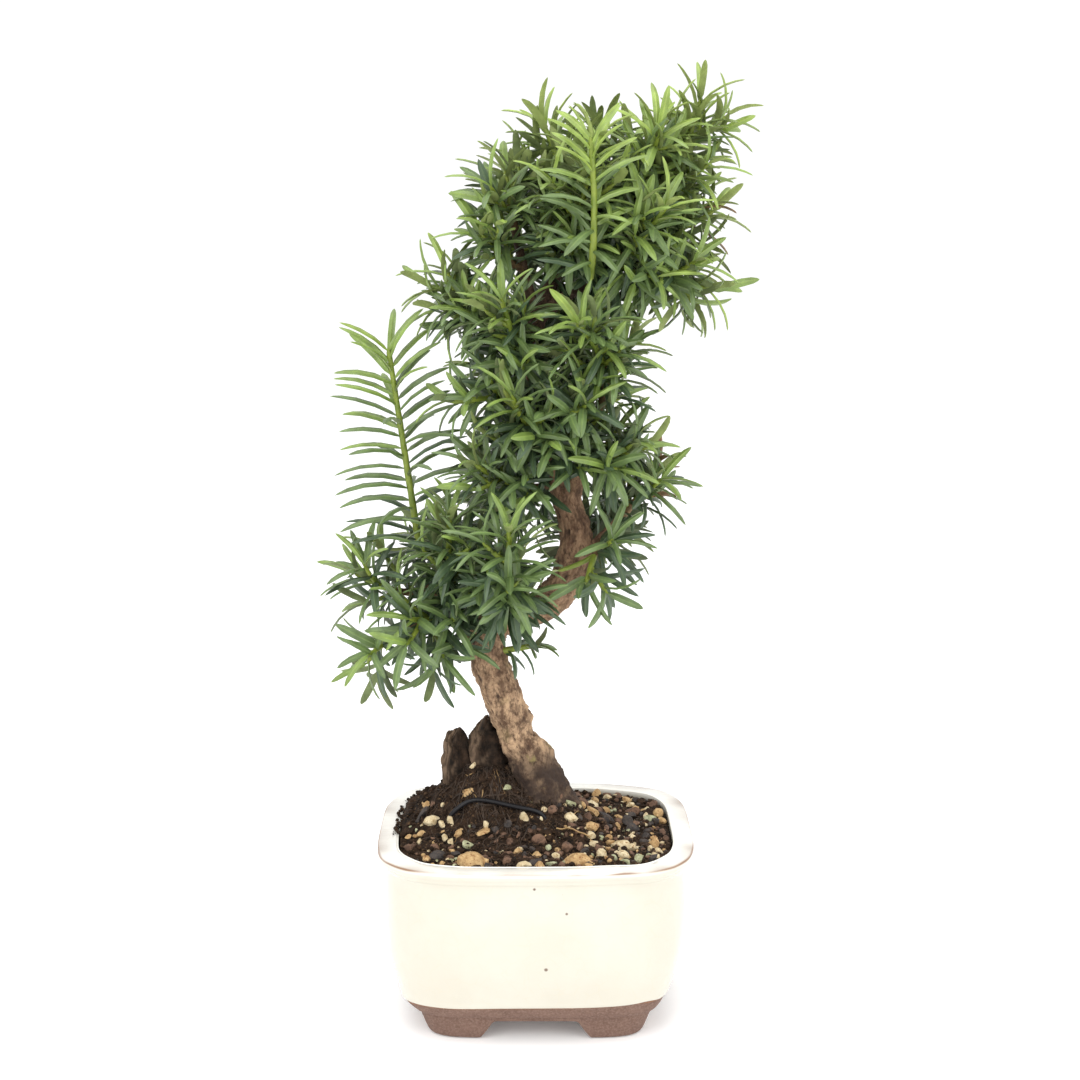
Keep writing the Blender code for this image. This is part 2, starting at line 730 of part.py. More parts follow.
def make_stump(name, extra, finish, group):
    """Two worn knobs fused together, cut flat where they meet the root mat."""
    knobs = new_collection("knobs")
    pieces = []
    for right, back, up, radius, taller in STUMP_KNOBS:
        shape = bmesh.new()
        bmesh.ops.create_uvsphere(shape, u_segments=14, v_segments=9, radius=1.0)
        middle = Vector((right, back, up)) * MM
        for vertex in shape.verts:
            worn = 1.0 + KNOB_WEAR * noise.noise(vertex.co * 1.5 + Vector((right, up, 0.0)))
            tall = Vector((1.0, 1.0, taller))
            vertex.co = middle + vertex.co * (radius * MM * worn + extra) * tall
        bmesh.ops.triangulate(shape, faces=shape.faces)
        pieces.append(add_shape(name, shape, finish, knobs))
    stump, knob = pieces
    apply_boolean(stump, "UNION", knob)
    floor = bmesh.new()
    depth = 40 * MM
    low = Matrix.Translation((-25 * MM, 5 * MM, STUMP_FLOOR - extra - depth / 2))
    bmesh.ops.create_cube(floor, size=depth, matrix=low @ Matrix.Diagonal((2, 2, 1, 1)))
    apply_boolean(stump, "DIFFERENCE", add_shape("floor", floor, finish, knobs))
    knobs.objects.unlink(stump)
    group.objects.link(stump)
    empty_collection(knobs)
    bpy.data.collections.remove(knobs)
    return stump


def make_wire(name, extra, finish, group):
    knots = [(*point, WIRE_RADIUS / MM) for point in WIRE_ROUTE]
    points, radii = smooth_path(knots, 3)
    ends = points
    if extra:
        first = (points[0] - points[1]).normalized() * GAP
        last = (points[-1] - points[-2]).normalized() * GAP
        ends = [points[0] + first] + points[1:-1] + [points[-1] + last]
    return make_tube(name, ends, [radius + extra for radius in radii], 2, finish, group)


def main():
    clear_scene()
    plant = new_collection("potted_hybrid_yew")
    cutters = new_collection("cutters")

    glaze = new_finish("cream_glaze", (0.86, 0.80, 0.66), 0.22)
    earth = new_finish("peat_soil", (0.055, 0.032, 0.02), 0.95)
    gravel = new_finish("tan_gravel", (0.52, 0.40, 0.24), 0.85)
    wire_skin = new_finish("black_wire", (0.012, 0.012, 0.014), 0.3)
    bark = new_finish("tan_bark", (0.30, 0.19, 0.12), 0.9)
    old_bark = new_finish("dark_old_root", (0.10, 0.065, 0.04), 0.95)
    needles = new_finish("dark_green_needles", (0.045, 0.12, 0.03), 0.45)

    trunk_points, trunk_radii = smooth_path(TRUNK_KNOTS, TRUNK_STEPS_PER_SPAN)
    limbs = {"trunk": {"points": trunk_points, "radii": trunk_radii}}
    trunk = make_trunk("trunk", limbs["trunk"], 0.0, bark, plant)
    shade(trunk, 60)
    limbs["trunk"]["cutter"] = make_trunk("trunk_cutter", limbs["trunk"], GAP, bark, cutters)

    for name, (parent, at, tip, first, last, sag) in BOUGHS.items():
        points = grow_path(limbs, parent, at, tip, sag, BOUGH_STEPS)
        radii = tapered(first * MM, last * MM, len(points))
        limbs[name] = {"points": points, "radii": radii}
        bough = make_tube(name, points, radii, 1, bark, plant)
        cut_at_parent(bough, limbs, parent, at, cutters)
        drop_scraps(bough)
        shade(bough, 60)

    stems = {}
    for name, (parent, at, tip, sag) in MASSES.items():
        stems[name] = grow_path(limbs, parent, at, tip, sag, STEM_STEPS)
    crown = Crown(stems, limbs)
    for name, stem in stems.items():
        make_mass(name, stem, crown, limbs, needles, plant, cutters)

    make_pot(plant, glaze)
    soil = make_soil(plant, earth)
    stump = make_stump("root_stump", 0.0, old_bark, plant)
    apply_boolean(stump, "DIFFERENCE", limbs["trunk"]["cutter"])
    drop_scraps(stump)
    shade(stump, 60)
    make_wire("anchor_wire", 0.0, wire_skin, plant)
    sockets = new_collection("sockets")
    make_stump("stump_socket", GAP, old_bark, sockets)
    make_wire("wire_socket", GAP, wire_skin, sockets)
    for name in STONES:
        make_stone(name, name, 0.0, gravel, plant)
        make_stone(name, name + "_socket", GAP, gravel, sockets)
    sockets.objects.link(limbs["trunk"]["cutter"])
    apply_boolean(soil, "DIFFERENCE", sockets)
    sockets.objects.unlink(limbs["trunk"]["cutter"])
    drop_scraps(soil)
    empty_collection(sockets)
    bpy.data.collections.remove(sockets)

    for cutter in cutters.objects:
        cutter.hide_render = True
        cutter.display_type = "WIRE"


main()
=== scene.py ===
import math
import random

import bmesh
import bpy
import numpy as np
from mathutils import Matrix, Vector, noise


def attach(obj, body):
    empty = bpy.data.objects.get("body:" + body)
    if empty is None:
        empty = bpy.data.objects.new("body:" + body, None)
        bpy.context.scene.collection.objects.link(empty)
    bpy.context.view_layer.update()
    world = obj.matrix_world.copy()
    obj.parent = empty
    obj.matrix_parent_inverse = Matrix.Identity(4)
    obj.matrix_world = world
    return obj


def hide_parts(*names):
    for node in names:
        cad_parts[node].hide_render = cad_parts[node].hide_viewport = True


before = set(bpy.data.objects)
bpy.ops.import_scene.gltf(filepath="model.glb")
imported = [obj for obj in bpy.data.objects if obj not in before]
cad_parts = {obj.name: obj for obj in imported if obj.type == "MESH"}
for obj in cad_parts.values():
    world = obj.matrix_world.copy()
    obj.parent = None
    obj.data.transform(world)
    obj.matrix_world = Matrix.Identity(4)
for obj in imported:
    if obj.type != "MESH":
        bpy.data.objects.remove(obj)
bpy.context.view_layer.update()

# The studio: a plain pale floor, an even white surround and three large soft lamps, the main
# one high at the front left. The camera is level with the crown and looks a little down.
MM = 0.001
UP = Vector((0.0, 0.0, 1.0))
CAMERA_PLACE = Vector((1.8, -750.0, 342.0)) * MM
CAMERA_DOWN = math.radians(10.8)
CAMERA_LENS = 62.33
FLOOR_SIZE = 8.0
FLOOR_COLOUR = (0.97, 0.97, 0.965)
SURROUND_STRENGTH = 1.06
LAMPS = {
    # place, size and power
    "main_lamp": (Vector((-0.75, -1.05, 1.25)), 1.3, 12.5),
    "fill_lamp": (Vector((1.1, -0.9, 0.9)), 1.4, 8.5),
    "top_lamp": (Vector((0.0, -0.1, 1.7)), 1.0, 9.0),
}

camera_data = bpy.data.cameras.new("camera")
camera_data.lens = CAMERA_LENS
camera_data.sensor_width = 36.0
camera_data.clip_start = 0.01
camera = bpy.data.objects.new("camera", camera_data)
camera.location = CAMERA_PLACE
camera.rotation_euler = (math.pi / 2 - CAMERA_DOWN, 0.0, 0.0)
bpy.context.scene.collection.objects.link(camera)
bpy.context.scene.camera = camera
bpy.context.scene.view_settings.view_transform = "Standard"

for lamp_name, (lamp_place, lamp_size, lamp_power) in LAMPS.items():
    lamp_data = bpy.data.lights.new(lamp_name, "AREA")
    lamp_data.size = lamp_size
    lamp_data.energy = lamp_power
    lamp = bpy.data.objects.new(lamp_name, lamp_data)
    lamp.location = lamp_place
    towards = Vector((0.0, 0.0, 0.2)) - lamp_place
    lamp.rotation_euler = towards.to_track_quat("-Z", "Y").to_euler()
    bpy.context.scene.collection.objects.link(lamp)

surround = bpy.data.worlds.new("surround")
surround.use_nodes = True
surround.node_tree.nodes["Background"].inputs["Color"].default_value = (1.0, 1.0, 1.0, 1.0)
surround.node_tree.nodes["Background"].inputs["Strength"].default_value = SURROUND_STRENGTH
bpy.context.scene.world = surround


class Finish:
    """A material under work: its nodes, its Principled shader, and short ways to add to them."""

    def __init__(self, name, roughness):
        self.material = bpy.data.materials.new(name)
        self.material.use_nodes = True
        self.nodes = self.material.node_tree.nodes
        self.links = self.material.node_tree.links
        self.shader = self.nodes["Principled BSDF"]
        self.shader.inputs["Roughness"].default_value = roughness
        self.place = self.nodes.new("ShaderNodeTexCoord").outputs["Object"]

    def set(self, **values):
        for name, value in values.items():
            self.shader.inputs[name.replace("_", " ").title().replace("Ior", "IOR")].default_value = value

    def noise(self, grain, detail=4.0, roughness=0.6, stretch=None):
        """Cloudy pattern, its grain being the size of one patch in metres."""
        pattern = self.nodes.new("ShaderNodeTexNoise")
        pattern.inputs["Scale"].default_value = 1.0 / grain
        pattern.inputs["Detail"].default_value = detail
        pattern.inputs["Roughness"].default_value = roughness
        source = self.place
        if stretch:
            turn = self.nodes.new("ShaderNodeMapping")
            turn.inputs["Scale"].default_value = stretch
            self.links.new(source, turn.inputs["Vector"])
            source = turn.outputs["Vector"]
        self.links.new(source, pattern.inputs["Vector"])
        return pattern.outputs["Fac"]

    def cells(self, grain, feature="DISTANCE_TO_EDGE", output="Distance"):
        pattern = self.nodes.new("ShaderNodeTexVoronoi")
        pattern.feature = feature
        pattern.inputs["Scale"].default_value = 1.0 / grain
        self.links.new(self.place, pattern.inputs["Vector"])
        return pattern.outputs[output]

    def attribute(self, name):
        source = self.nodes.new("ShaderNodeAttribute")
        source.attribute_name = name
        return source.outputs["Fac"]

    def between(self, value, low, high, to_low=0.0, to_high=1.0):
        span = self.nodes.new("ShaderNodeMapRange")
        span.inputs["From Min"].default_value = low
        span.inputs["From Max"].default_value = high
        span.inputs["To Min"].default_value = to_low
        span.inputs["To Max"].default_value = to_high
        self.links.new(value, span.inputs["Value"])
        return span.outputs["Result"]

    def math(self, operation, first, second):
        step = self.nodes.new("ShaderNodeMath")
        step.operation = operation
        for socket, value in zip(step.inputs, (first, second)):
            if isinstance(value, float):
                socket.default_value = value
            else:
                self.links.new(value, socket)
        return step.outputs["Value"]

    def mix(self, share, first, second):
        blend = self.nodes.new("ShaderNodeMix")
        blend.data_type = "RGBA"
        self.links.new(share, blend.inputs["Factor"])
        for index, value in ((6, first), (7, second)):
            if isinstance(value, tuple):
                blend.inputs[index].default_value = (*value, 1.0)
            else:
                self.links.new(value, blend.inputs[index])
        return blend.outputs[2]

    def colour(self, value):
        self.links.new(value, self.shader.inputs["Base Color"])

    def gloss(self, value):
        self.links.new(value, self.shader.inputs["Roughness"])

    def bump(self, height, distance, strength=1.0):
        relief = self.nodes.new("ShaderNodeBump")
        relief.inputs["Distance"].default_value = distance
        relief.inputs["Strength"].default_value = strength
        self.links.new(height, relief.inputs["Height"])
        self.links.new(relief.outputs["Normal"], self.shader.inputs["Normal"])


def deselect_all():
    if bpy.context.object and bpy.context.object.mode != "OBJECT":
        bpy.ops.object.mode_set(mode="OBJECT")
    bpy.ops.object.select_all(action="DESELECT")


deselect_all()
bpy.ops.mesh.primitive_plane_add(size=FLOOR_SIZE, location=(0.0, 0.0, -0.1 * MM))
floor = bpy.context.object
floor.name = "floor"
floor_finish = Finish("pale_floor", 0.8)
floor_finish.set(base_color=(*FLOOR_COLOUR, 1.0), emission_color=(*FLOOR_COLOUR, 1.0), emission_strength=0.1)
floor.data.materials.append(floor_finish.material)


# The pot: thrown square in stoneware, its foot and four feet left as bare brown clay, the
# rest dipped in a thick cream glaze that ends in a soft roll above the foot and breaks thin
# and brown over the outer edge of its flat lip.
POT_AROUND = 192
POT_NARROWER = 8.0
POT_FOOT_DEEPER = 3.2
POT_FOOT_ZONE = 20.0
POT_OUTSIDE = (
    # height, half width and squareness of the plan
    (0.0, 43.8, 6.6),
    (0.4, 44.9, 6.6),
    (1.4, 45.7, 6.6),
    (8.0, 48.5, 6.0),
    (10.6, 49.8, 5.8),
    (11.3, 51.5, 5.8),
    (15.0, 54.4, 5.4),
    (20.0, 57.0, 4.8),
    (33.0, 60.7, 4.3),
    (47.0, 62.6, 4.0),
    (60.0, 63.0, 4.0),
    (69.5, 62.7, 4.0),
    (72.0, 63.7, 4.0),
    (74.5, 65.2, 4.0),
    (76.4, 65.0, 4.0),
    (77.0, 64.2, 4.0),
)
POT_INSIDE = (
    (77.0, 57.6, 4.2),
    (76.6, 56.9, 4.2),
    (75.5, 56.5, 4.2),
    (60.0, 56.2, 4.2),
    (33.0, 53.6, 4.2),
    (20.0, 49.0, 4.4),
    (14.2, 43.0, 4.6),
)
POT_STEPS = 5
POT_FOOT_HEIGHT = 8.6
POT_POCKET = 37.0
NOTCHES = {"front_to_back": 0.0, "side_to_side": 4.5}
NOTCH_PROFILE = (
    # half width and height, from the rounded lower edge of a foot to the roof of the notch
    (26.0, -0.3),
    (24.6, 0.0),
    (22.9, 0.5),
    (21.6, 1.6),
    (18.6, 6.0),
    (17.6, 7.6),
    (16.6, 8.4),
    (15.4, 8.6),
)
DRAIN_RADIUS = 6.0
DRAIN_OFFSET = 22.0
GLAZE_LINE = 16.7
GLAZE_WAVE = 0.7
GLAZE_LEAN = 1.4
GLAZE_THICK = 0.3
PINHOLES = (
    # right, back, up and radius of the pits that burst in the glaze
    (-0.4, -55.2, 69.8, 0.75),
    (10.7, -55.4, 67.6, 0.5),
    (12.3, -55.0, 59.7, 0.75),
    (4.2, -53.3, 35.6, 1.0),
    (-39.3, -50.0, 50.8, 0.6),
    (-55.9, 9.0, 49.0, 0.5),
    (56.4, -14.0, 38.0, 0.6),
    (21.0, 52.6, 44.0, 0.6),
)
LIP_WOBBLE = 0.45


def plan_ring(half_width, squareness, count, narrower=POT_NARROWER):
    """Points of a rounded rectangle in millimetres, a superellipse narrower front to back."""
    ring = []
    for step in range(count):
        turn = 2.0 * math.pi * step / count
        right = math.cos(turn)
        back = math.sin(turn)
        power = 2.0 / squareness
        x = half_width * math.copysign(abs(right) ** power, right)
        y = (half_width - narrower) * math.copysign(abs(back) ** power, back)
        ring.append(Vector((x, y, 0.0)))
    return ring


def smoothed(rows, steps):
    """More rows on a smooth curve through the given ones."""
    values = [np.array(row, float) for row in [rows[0]] + list(rows) + [rows[-1]]]
    finer = []
    for start in range(1, len(values) - 2):
        before, here, after, beyond = values[start - 1 : start + 3]
        for step in range(steps):
            t = step / steps
            row = 2 * here + (after - before) * t
            row = row + (2 * before - 5 * here + 4 * after - beyond) * t**2
            row = row + (3 * here - before - 3 * after + beyond) * t**3
            finer.append(row / 2)
    finer.append(values[-2])
    return finer


def raise_rings(name, rings):
    """A closed piece: the first ring is a filled circle, and its face is extruded through the rest."""
    deselect_all()
    bpy.ops.mesh.primitive_circle_add(vertices=len(rings[0]), radius=1.0, fill_type="NGON")
    piece = bpy.context.object
    piece.name = name
    piece.data.name = name
    bpy.ops.object.mode_set(mode="EDIT")
    shape = bmesh.from_edit_mesh(piece.data)
    spoke = shape.verts.layers.int.new("spoke")
    for step, vertex in enumerate(shape.verts):
        vertex[spoke] = step
        vertex.co = rings[0][step] * MM
    for ring in rings[1:]:
        bpy.ops.mesh.extrude_region_move()
        shape = bmesh.from_edit_mesh(piece.data)
        spoke = shape.verts.layers.int["spoke"]
        for vertex in shape.verts:
            if vertex.select:
                vertex.co = ring[vertex[spoke]] * MM
        bmesh.update_edit_mesh(piece.data)
    bpy.ops.mesh.select_all(action="SELECT")
    bpy.ops.mesh.normals_make_consistent(inside=False)
    bpy.ops.object.mode_set(mode="OBJECT")
    piece.data.attributes.remove(piece.data.attributes["spoke"])
    return piece


def cut_with(piece, cutter, operation="DIFFERENCE"):
    deselect_all()
    piece.select_set(True)
    bpy.context.view_layer.objects.active = piece
    change = piece.modifiers.new("cut", "BOOLEAN")
    change.operation = operation
    change.object = cutter
    change.material_mode = "TRANSFER"
    bpy.ops.object.modifier_apply(modifier=change.name)
    bpy.data.objects.remove(cutter)


def soften(piece, degrees):
    deselect_all()
    piece.select_set(True)
    bpy.context.view_layer.objects.active = piece
    bpy.ops.object.shade_smooth_by_angle(angle=math.radians(degrees))


def pot_wave(turn, seed, rate=2.0):
    return noise.noise(Vector((math.cos(turn) * rate, math.sin(turn) * rate, seed)))


def glaze_edge(turn):
    """How far the glaze's edge is above its line, turn being the way round the pot."""
    return GLAZE_WAVE * 2.0 * pot_wave(turn, 3.0) + GLAZE_LEAN * math.cos(turn)


glaze = Finish("cream_glaze", 0.2)
glaze.set(coat_weight=0.5, coat_roughness=0.06, ior=1.5)
glaze_patches = glaze.between(glaze.noise(0.03, 3.0), 0.38, 0.68)
glaze_walls = glaze.mix(glaze_patches, (0.595, 0.570, 0.490), (0.575, 0.540, 0.455))
glaze_split = glaze.nodes.new("ShaderNodeSeparateXYZ")
glaze.links.new(glaze.place, glaze_split.inputs["Vector"])
# Painted light: the lip's top face, from 75 mm up, is coloured far paler than the walls, as if lit from above.
lip_painted_light = glaze.between(glaze_split.outputs["Z"], 0.0750, 0.0762)
glaze_with_lip_light = glaze.mix(lip_painted_light, glaze_walls, (0.88, 0.865, 0.80))
crackle_size = glaze.math("ADD", glaze.cells(0.0065), glaze.between(glaze.noise(0.004), 0.3, 0.7, -0.03, 0.03))
crackle_lines = glaze.between(crackle_size, 0.0, 0.035, 0.09, 0.0)
glaze_crazed = glaze.mix(crackle_lines, glaze_with_lip_light, (0.62, 0.50, 0.30))
glaze_holed = glaze_crazed
for right, back, up, radius in PINHOLES:
    away = glaze.nodes.new("ShaderNodeVectorMath")
    away.operation = "DISTANCE"
    away.inputs[1].default_value = Vector((right, back, up)) * MM
    glaze.links.new(glaze.place, away.inputs[0])
    pinhole = glaze.between(away.outputs["Value"], radius * 0.5 * MM, radius * MM, 0.9, 0.0)
    glaze_holed = glaze.mix(pinhole, glaze_holed, (0.11, 0.055, 0.03))
glaze_thin = glaze.mix(glaze.attribute("thin_glaze"), glaze_holed, (0.24, 0.13, 0.065))
# The inner wall is browned towards the soil: partly soil stain, partly painted shade.
glaze.colour(glaze.mix(glaze.attribute("soil_stain_and_shade"), glaze_thin, (0.13, 0.08, 0.045)))
glaze.bump(glaze.noise(0.0035, 3.0), 0.00012)

clay = Finish("bare_clay", 0.85)
clay_cloud = clay.mix(clay.between(clay.noise(0.008), 0.35, 0.7), (0.132, 0.073, 0.053), (0.186, 0.108, 0.080))
clay_sand = clay.mix(clay.between(clay.noise(0.0009, 2.0), 0.42, 0.66), clay_cloud, (0.220, 0.138, 0.105))
clay_grit = clay.between(clay.cells(0.0012, "F1"), 0.12, 0.3, 1.0, 0.0)
clay_gritty = clay.mix(clay.math("MULTIPLY", clay_grit, 0.45), clay_sand, (0.06, 0.034, 0.026))
clay.colour(clay.mix(clay.attribute("toasted"), clay_gritty, (0.27, 0.105, 0.035)))
clay.bump(clay.noise(0.0008, 4.0), 0.00025)

outside_rows = smoothed(POT_OUTSIDE, POT_STEPS)
roll_rows = [row for row in outside_rows if row[0] < GLAZE_LINE - 0.8]
for rise, out in ((-0.6, 0.0), (-0.15, 0.0), (0.0, 0.7), (0.25, 1.15), (0.6, 1.3), (1.1, 1.2), (1.8, 1.0)):
    low_row = max((row for row in outside_rows if row[0] <= GLAZE_LINE + rise), key=lambda row: row[0])
    high_row = min((row for row in outside_rows if row[0] > GLAZE_LINE + rise), key=lambda row: row[0])
    part = (GLAZE_LINE + rise - low_row[0]) / (high_row[0] - low_row[0])
    row = low_row + (high_row - low_row) * part
    roll_rows.append(row + np.array((0.0, GLAZE_THICK * out, 0.0)))
glaze_rows = [row + np.array((0.0, GLAZE_THICK, 0.0)) for row in outside_rows if row[0] > GLAZE_LINE + 2.3]
for row in glaze_rows:
    if row[0] > 73.0:
        row[1] -= GLAZE_THICK
outside_count = len(roll_rows + glaze_rows)
pot_rows = roll_rows + glaze_rows + smoothed(POT_INSIDE, POT_STEPS)

pot_rings = []
for row, (height, half_width, squareness) in enumerate(pot_rows):
    deeper = POT_FOOT_DEEPER * max(0.0, 1.0 - height / POT_FOOT_ZONE) if row < outside_count else 0.0
    ring = plan_ring(half_width, squareness, POT_AROUND, POT_NARROWER - deeper)
    line_share = math.exp(-(((height - GLAZE_LINE) / 3.5) ** 2)) if half_width > 50.0 else 0.0
    lip_share = max(0.0, min(1.0, (height - 66.0) / 8.0))
    for step, point in enumerate(ring):
        turn = 2.0 * math.pi * step / POT_AROUND
        outward = Vector((point.x, point.y, 0.0)).normalized()
        point.z = height + line_share * glaze_edge(turn)
        point.z += lip_share * LIP_WOBBLE * (pot_wave(turn, 7.0) * 1.2 - 0.5)
        side_swell = 0.35 * pot_wave(turn, height * 0.03, 1.3) * (1.0 if height > 20.0 else 0.3)
        point.x += outward.x * (side_swell + lip_share * LIP_WOBBLE * pot_wave(turn, 9.0, 3.0))
        point.y += outward.y * (side_swell + lip_share * LIP_WOBBLE * pot_wave(turn, 9.0, 3.0))
    pot_rings.append(ring)
pot = raise_rings("pot_body", pot_rings)
pot.data.materials.append(glaze.material)
pot.data.materials.append(clay.material)
clay_rows = sum(1 for row in roll_rows if row[0] < GLAZE_LINE - 0.05)
clay_corners = clay_rows * POT_AROUND
for face in pot.data.polygons:
    face.material_index = 1 if max(face.vertices) < clay_corners else 0

for side, narrower in NOTCHES.items():
    half = [(across - narrower, height) for across, height in smoothed(NOTCH_PROFILE, 3)]
    outline = half + [(-across, height) for across, height in reversed(half)]
    if side == "side_to_side":
        outline.reverse()
    notch_rings = []
    for along in (-70.0, 70.0):
        ring = []
        for across, height in outline:
            place = (across, along, height) if side == "front_to_back" else (along, across, height)
            ring.append(Vector(place))
        notch_rings.append(ring)
    notch = raise_rings("notch", notch_rings)
    notch.data.materials.append(clay.material)
    cut_with(pot, notch)
pocket_rings = []
for height in (-0.3, POT_FOOT_HEIGHT):
    ring = plan_ring(POT_POCKET, 5.0, 96)
    for point in ring:
        point.z = height
    pocket_rings.append(ring)
pocket = raise_rings("pocket", pocket_rings)
pocket.data.materials.append(clay.material)
cut_with(pot, pocket)
for side in (-1, 1):
    deselect_all()
    bpy.ops.mesh.primitive_cylinder_add(
        vertices=48, radius=DRAIN_RADIUS * MM, depth=0.03, location=(side * DRAIN_OFFSET * MM, 0.0, 8 * MM)
    )
    drain = bpy.context.object
    drain.data.materials.append(clay.material)
    cut_with(pot, drain)

thin_glaze = pot.data.attributes.new("thin_glaze", "FLOAT", "POINT")
soil_stain_and_shade = pot.data.attributes.new("soil_stain_and_shade", "FLOAT", "POINT")
toasted = pot.data.attributes.new("toasted", "FLOAT", "POINT")
for index, vertex in enumerate(pot.data.vertices):
    point = vertex.co / MM
    reach = (abs(point.x) ** 4 + abs(point.y * 1.15) ** 4) ** 0.25
    patchy = 0.5 + 0.9 * noise.noise(Vector((point.x, point.y, 0.0)) / 14.0)
    turn = math.atan2(math.copysign(abs(point.y) ** 2.4, point.y), math.copysign(abs(point.x) ** 2.4, point.x))
    above = point.z - GLAZE_LINE - glaze_edge(turn)
    toasted.data[index].value = max(0.0, 1.0 - abs(above + 0.1) / 0.4) * 0.9
    if reach > 60.5:
        corner = min(1.0, max(0.0, (abs(point.x) - 36.0) / 16.0))
        edge = math.exp(-(((point.z - 76.1 - 0.4 * patchy) / 0.45) ** 2))
        edge *= max(0.95 * patchy, corner * (0.85 + 0.6 * patchy))
        thin_glaze.data[index].value = max(0.0, min(1.0, edge))
    elif 62.0 < point.z < 76.4:
        # Painted shade with soil stain: the inner wall is browned more the lower it is towards the soil.
        stain = (75.0 - point.z) / 5.0 * (0.3 + 0.7 * patchy)
        soil_stain_and_shade.data[index].value = max(0.0, min(0.6, stain))
soften(pot, 32)
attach(pot, "root")
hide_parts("pot")


# The soil: moist dark peat, pressed in and level with the rim at the left, a hump of matted
# old roots left of the trunk, a dip to the back right, crumbs and broken fibres all over it.
SOIL_AROUND = 200
SOIL_RINGS = 62
SOIL_LEVEL = 74.7
SOIL_DIP = 0.1
SOIL_REACH = 55.9
SOIL_HUMPS = (
    # right, back, height, spread right, spread back
    (-20.0, 0.5, 26.5, 13.5, 11.5),
    (-40.0, 15.0, 11.0, 12.5, 18.0),
    (9.0, 2.0, 14.5, 12.0, 14.5),
)
SOIL_BUMP = 1.3
SOIL_BUMP_SPACING = 8.0
SOIL_FINE_BUMPS = ((4.4, 1.3), (1.9, 0.8), (0.9, 0.35))
CRUMBS = 2600
FIBRES = 620
SPILLED = 70


def soil_height(x, y):
    """The soil's surface, without its crumbs, all in millimetres."""
    height = SOIL_LEVEL
    for right, back, rise, spread_right, spread_back in SOIL_HUMPS:
        away = ((x - right) / spread_right) ** 2 + ((y - back) / spread_back) ** 2
        height += rise * math.exp(-0.5 * away)
    height -= SOIL_DIP * max(0.0, (x + y) / 56.4)
    return height + SOIL_BUMP * noise.noise(Vector((x, y, 0.0)) / SOIL_BUMP_SPACING)


def soil_surface(x, y):
    height = soil_height(x, y)
    for spacing, rise in SOIL_FINE_BUMPS:
        height += rise * noise.noise(Vector((x, y, height)) / spacing)
    return height


def soil_slope(x, y):
    """The direction square to the soil's surface."""
    lean_x = soil_height(x + 0.5, y) - soil_height(x - 0.5, y)
    lean_y = soil_height(x, y + 0.5) - soil_height(x, y - 0.5)
    return Vector((-lean_x, -lean_y, 1.0)).normalized()


def place_on_soil(chance, share=0.97):
    """A random place on the soil, inside the pot's wall."""
    while True:
        x = chance.uniform(-1.0, 1.0)
        y = chance.uniform(-1.0, 1.0)
        if abs(x) ** 4.2 + abs(y) ** 4.2 < share:
            return x * SOIL_REACH, y * (SOIL_REACH - POT_NARROWER)


def joined(name, corners, faces, finish):
    """One mesh of many alike shapes: corners is an array of count, corner and axis, in metres."""
    count, size, _ = corners.shape
    every = []
    for item in range(count):
        first = item * size
        every.extend([tuple(first + corner for corner in face) for face in faces])
    mesh = bpy.data.meshes.new(name)
    mesh.from_pydata(corners.reshape(-1, 3).tolist(), [], every)
    mesh.materials.append(finish.material)
    mesh.update()
    piece = bpy.data.objects.new(name, mesh)
    bpy.context.scene.collection.objects.link(piece)
    return piece


def ball_template(subdivisions):
    """Corners and faces of a geodesic ball one unit in radius."""
    deselect_all()
    bpy.ops.mesh.primitive_ico_sphere_add(subdivisions=subdivisions, radius=1.0)
    ball = bpy.context.object
    corners = np.array([vertex.co[:] for vertex in ball.data.vertices])
    faces = [tuple(face.vertices) for face in ball.data.polygons]
    bpy.data.objects.remove(ball)
    return corners, faces


def chipped(corners, chance, sizes, cuts, depth):
    """A rough grain: a ball stretched, then ground flat on some random sides, and turned."""
    grain = corners.copy()
    for _ in range(cuts):
        side = np.array([chance.gauss(0, 1) for _ in range(3)])
        side /= np.linalg.norm(side)
        over = grain @ side - chance.uniform(*depth)
        grain -= np.outer(np.maximum(over, 0.0), side)
    grain *= np.array(sizes)
    turn = Matrix.Rotation(chance.uniform(0, 2 * math.pi), 3, "Z")
    turn = turn @ Matrix.Rotation(chance.uniform(-0.7, 0.7), 3, "X")
    return grain @ np.array(turn).T


soil_rings = []
for height, half_width, squareness in ((14.5, 43.2, 4.6), (20.0, 48.7, 4.4), (33.0, 53.3, 4.2), (60.0, 55.9, 4.2)):
    ring = plan_ring(half_width, squareness, SOIL_AROUND)
    for point in ring:
        point.z = height
    soil_rings.append(ring)
for step in range(SOIL_RINGS):
    share = 1.0 - step / SOIL_RINGS
    ring = plan_ring(SOIL_REACH, 4.2, SOIL_AROUND)
    for point in ring:
        point.x *= share
        point.y *= share
        point.z = soil_surface(point.x, point.y)
    soil_rings.append(ring)
soil = raise_rings("soil_bed", soil_rings)
peat = Finish("moist_peat", 0.95)
peat.set(specular_ior_level=0.2)
peat_cloud = peat.mix(peat.between(peat.noise(0.006, 5.0), 0.35, 0.7), (0.009, 0.006, 0.004), (0.052, 0.029, 0.017))
peat.colour(peat.mix(peat.between(peat.noise(0.0011, 3.0), 0.55, 0.72), peat_cloud, (0.135, 0.080, 0.042)))
peat.bump(peat.noise(0.0012, 5.0), 0.0007)
soil.data.materials.append(peat.material)
soften(soil, 180)
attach(soil, "root")
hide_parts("soil")

